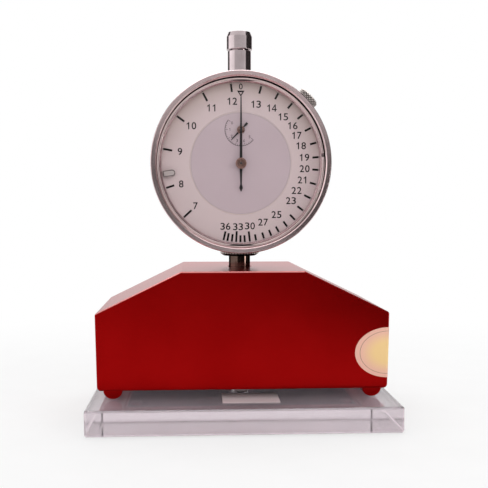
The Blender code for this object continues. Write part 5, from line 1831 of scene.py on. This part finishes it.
@dataclass
class Studio:
    """The camera of the photograph, a pale floor and backdrop, and soft lamps."""

    camera_place: tuple[float, float, float] = (-0.01511, -0.29606, 0.07073)
    focal_px: float = 848.25
    axis_row_px: float = 303.4
    pitch: float = 6.501
    yaw: float = 3.229
    sensor_mm: float = 36.0
    fill: float = 0.5
    front_sheen: float = 0.64
    floor_gap: float = 0.00025
    floor_fade: tuple[float, float] = (0.10, 0.28)

    def build(self) -> None:
        """Builds the whole studio."""
        self.camera()
        self.world()
        self.floor()
        self.lamps()
        self.cards()
        bpy.context.scene.view_settings.view_transform = "Standard"

    def camera(self) -> None:
        """The camera at the photograph's place."""
        data = bpy.data.cameras.new("photograph")
        data.sensor_width = self.sensor_mm
        data.lens = self.focal_px / IMAGE_WIDTH_PX * self.sensor_mm
        data.shift_y = (self.axis_row_px - IMAGE_WIDTH_PX / 2) / IMAGE_WIDTH_PX
        data.clip_start = 0.01
        camera = bpy.data.objects.new("photograph", data)
        bpy.context.scene.collection.objects.link(camera)
        camera.location = self.camera_place
        camera.rotation_euler = (math.radians(90 - self.pitch), 0.0, -math.radians(self.yaw))
        bpy.context.scene.camera = camera

    def world(self) -> None:
        """A world that lights softly, and is white wherever it is seen or mirrored."""
        world = bpy.data.worlds.new("studio")
        world.use_nodes = True
        bpy.context.scene.world = world
        board = NodeBoard(world.node_tree)
        background = world.node_tree.nodes["Background"]
        path = board.add("ShaderNodeLightPath").outputs
        seen = board.math("MAXIMUM", path["Is Camera Ray"], path["Is Transmission Ray"])
        way = board.add("ShaderNodeTexCoord").outputs["Generated"]
        parts = board.parts(way)
        back = board.math("ADD", parts["Y"], board.math("MULTIPLY", parts["Z"], 0.5))
        sheen = board.remap(back, -0.9, 0.5, self.front_sheen, 1.0, smooth=True)
        mirrored = board.math("MULTIPLY", path["Is Glossy Ray"], sheen)
        clear = board.math("MAXIMUM", seen, mirrored)
        background.inputs["Color"].default_value = (1.0, 1.0, 1.0, 1.0)
        board.feed(background, "Strength", board.math("MAXIMUM", clear, self.fill))

    def floor(self) -> None:
        """A pale floor that keeps the meter's shadow and turns white away from the meter."""
        finish = Finish("pale_floor")
        board = finish.board
        place = finish.place()
        grain = finish.noise(place, 60.0, 3.0)
        share = finish.between(grain, 0.0, 1.0)
        finish.set(Base_Color=finish.blend(share, (0.86, 0.86, 0.86), (0.83, 0.83, 0.83)))
        finish.set(Roughness=0.9, Specular_IOR_Level=0.1)
        fade = board.remap(board.length(place), *self.floor_fade, smooth=True)
        path = board.add("ShaderNodeLightPath").outputs
        seen = board.math("MULTIPLY", path["Is Camera Ray"], board.math("MULTIPLY_ADD", fade, 0.4, 0.6))
        through = board.math("MULTIPLY", path["Is Transmission Ray"], fade)
        glow = board.add("ShaderNodeEmission", {"Color": (1.0, 1.0, 1.0, 1.0), "Strength": 1.0})
        inputs = {0: board.math("MAXIMUM", seen, through), 1: finish.shader.outputs[0], 2: glow.outputs[0]}
        mix = board.add("ShaderNodeMixShader", inputs)
        output = finish.material.node_tree.nodes["Material Output"]
        board.feed(output, "Surface", mix.outputs[0])
        size = (2.4, 2.4)
        self.sheet("floor", (0.0, 0.4, -self.floor_gap), size, (0.0, 0.0, 0.0), finish.material)

    def sheet(
        self,
        name: str,
        place: Sequence[float],
        size: Point,
        turn: Sequence[float],
        material: bpy.types.Material,
    ) -> bpy.types.Object:
        """A flat sheet of the studio.

        Args:
            name: Its name.
            place: Its middle.
            size: Its width and length.
            turn: Its rotation in degrees.
            material: Its finish.

        Returns:
            The sheet.
        """
        solid = bmesh.new()
        bmesh.ops.create_grid(solid, x_segments=8, y_segments=8, size=0.5)
        mesh = bpy.data.meshes.new(name)
        solid.to_mesh(mesh)
        solid.free()
        rotation = clockwise(-turn[2]) @ Matrix.Rotation(math.radians(turn[0]), 4, "X")
        mesh.transform(Matrix.Translation(place) @ rotation @ Matrix.Diagonal((size[0], size[1], 1.0, 1.0)))
        mesh.materials.append(material)
        obj = bpy.data.objects.new(name, mesh)
        bpy.context.scene.collection.objects.link(obj)
        return obj

    def lamps(self) -> None:
        """Large soft lamps above and at the left, and two fills that mirrors do not see."""
        for name, place, size, power, mirrored in (
            ("top_softbox", (0.0, 0.25, 0.80), (1.1, 0.7), 4.2, True),
            ("left_softbox", (-0.75, -0.12, 0.30), (0.9, 0.55), 0.7, True),
            ("right_fill", (0.7, -0.6, 0.35), (0.5, 0.5), 2.2, False),
            ("front_fill", (-0.05, -0.95, 0.35), (0.6, 0.6), 3.0, False),
        ):
            data = bpy.data.lights.new(name, "AREA")
            data.shape = "RECTANGLE"
            data.size, data.size_y = size
            data.energy = power
            lamp = bpy.data.objects.new(name, data)
            bpy.context.scene.collection.objects.link(lamp)
            lamp.visible_glossy = mirrored
            lamp.location = place
            aim = Vector((0.0, 0.0, 0.07)) - Vector(place)
            lamp.rotation_euler = aim.to_track_quat("-Z", "Y").to_euler()

    def cards(self) -> None:
        """Cards that only mirrors see: dark ones for the metal's dark bands, and one bright strip."""
        finish = Finish("dark_card")
        grain = finish.noise(finish.place(), 30.0, 2.0)
        finish.set(Base_Color=finish.blend(grain, (0.03, 0.027, 0.027), (0.05, 0.045, 0.045)))
        finish.set(Roughness=0.95, Specular_IOR_Level=0.0)
        strip = Finish("light_strip")
        glow = strip.blend(strip.noise(strip.place(), 20.0), (1.0, 0.97, 0.95), (1.0, 1.0, 1.0))
        strip.set(Base_Color=(0.0, 0.0, 0.0, 1.0), Emission_Color=glow, Emission_Strength=6.0)
        for name, turn, away, height, size, tilt in (
            ("front_card", 12.0, 0.50, 0.07, (0.75, 0.14), 90.0),
            ("low_right_card", 40.0, 0.30, 0.06, (0.34, 0.12), 90.0),
            ("light_strip", 61.0, 0.285, 0.045, (0.06, 0.09), 90.0),
            ("floor_card", 40.4, 0.355, 0.0005, (0.30, 0.34), 0.0),
            ("right_card", 103.5, 0.283, 0.225, (0.50, 0.45), 90.0),
            ("left_card", -133.0, 0.43, 0.225, (0.263, 0.45), 90.0),
        ):
            angle = math.radians(turn)
            place = (away * math.sin(angle), -away * math.cos(angle), height)
            paint = strip.material if name == "light_strip" else finish.material
            card = self.sheet(name, place, size, (tilt, 0.0, turn if tilt else 0.0), paint)
            card.visible_camera = False
            card.visible_diffuse = False
            card.visible_shadow = False
            card.visible_transmission = False


def main() -> None:
    """Builds the studio and dresses the whole meter."""
    low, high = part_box("bezel")
    height = (low.z + high.z) / 2
    dial = Matrix.Translation((0.0, 0.0, height)) @ RAISED @ UPRIGHT
    Studio().build()
    palette = Palette(height)
    builders: list[Callable[[Palette], None]] = [
        SettingPlate().build,
        Housing().build,
        FeelerParts().build,
        StemParts().build,
        Gauge(dial).build,
        DialFace(dial).build,
        Hands(dial).build,
        Movement(dial).build,
    ]
    for build in builders:
        build(palette)


if __name__ == "__main__":
    logging.basicConfig(level=logging.INFO)
    main()
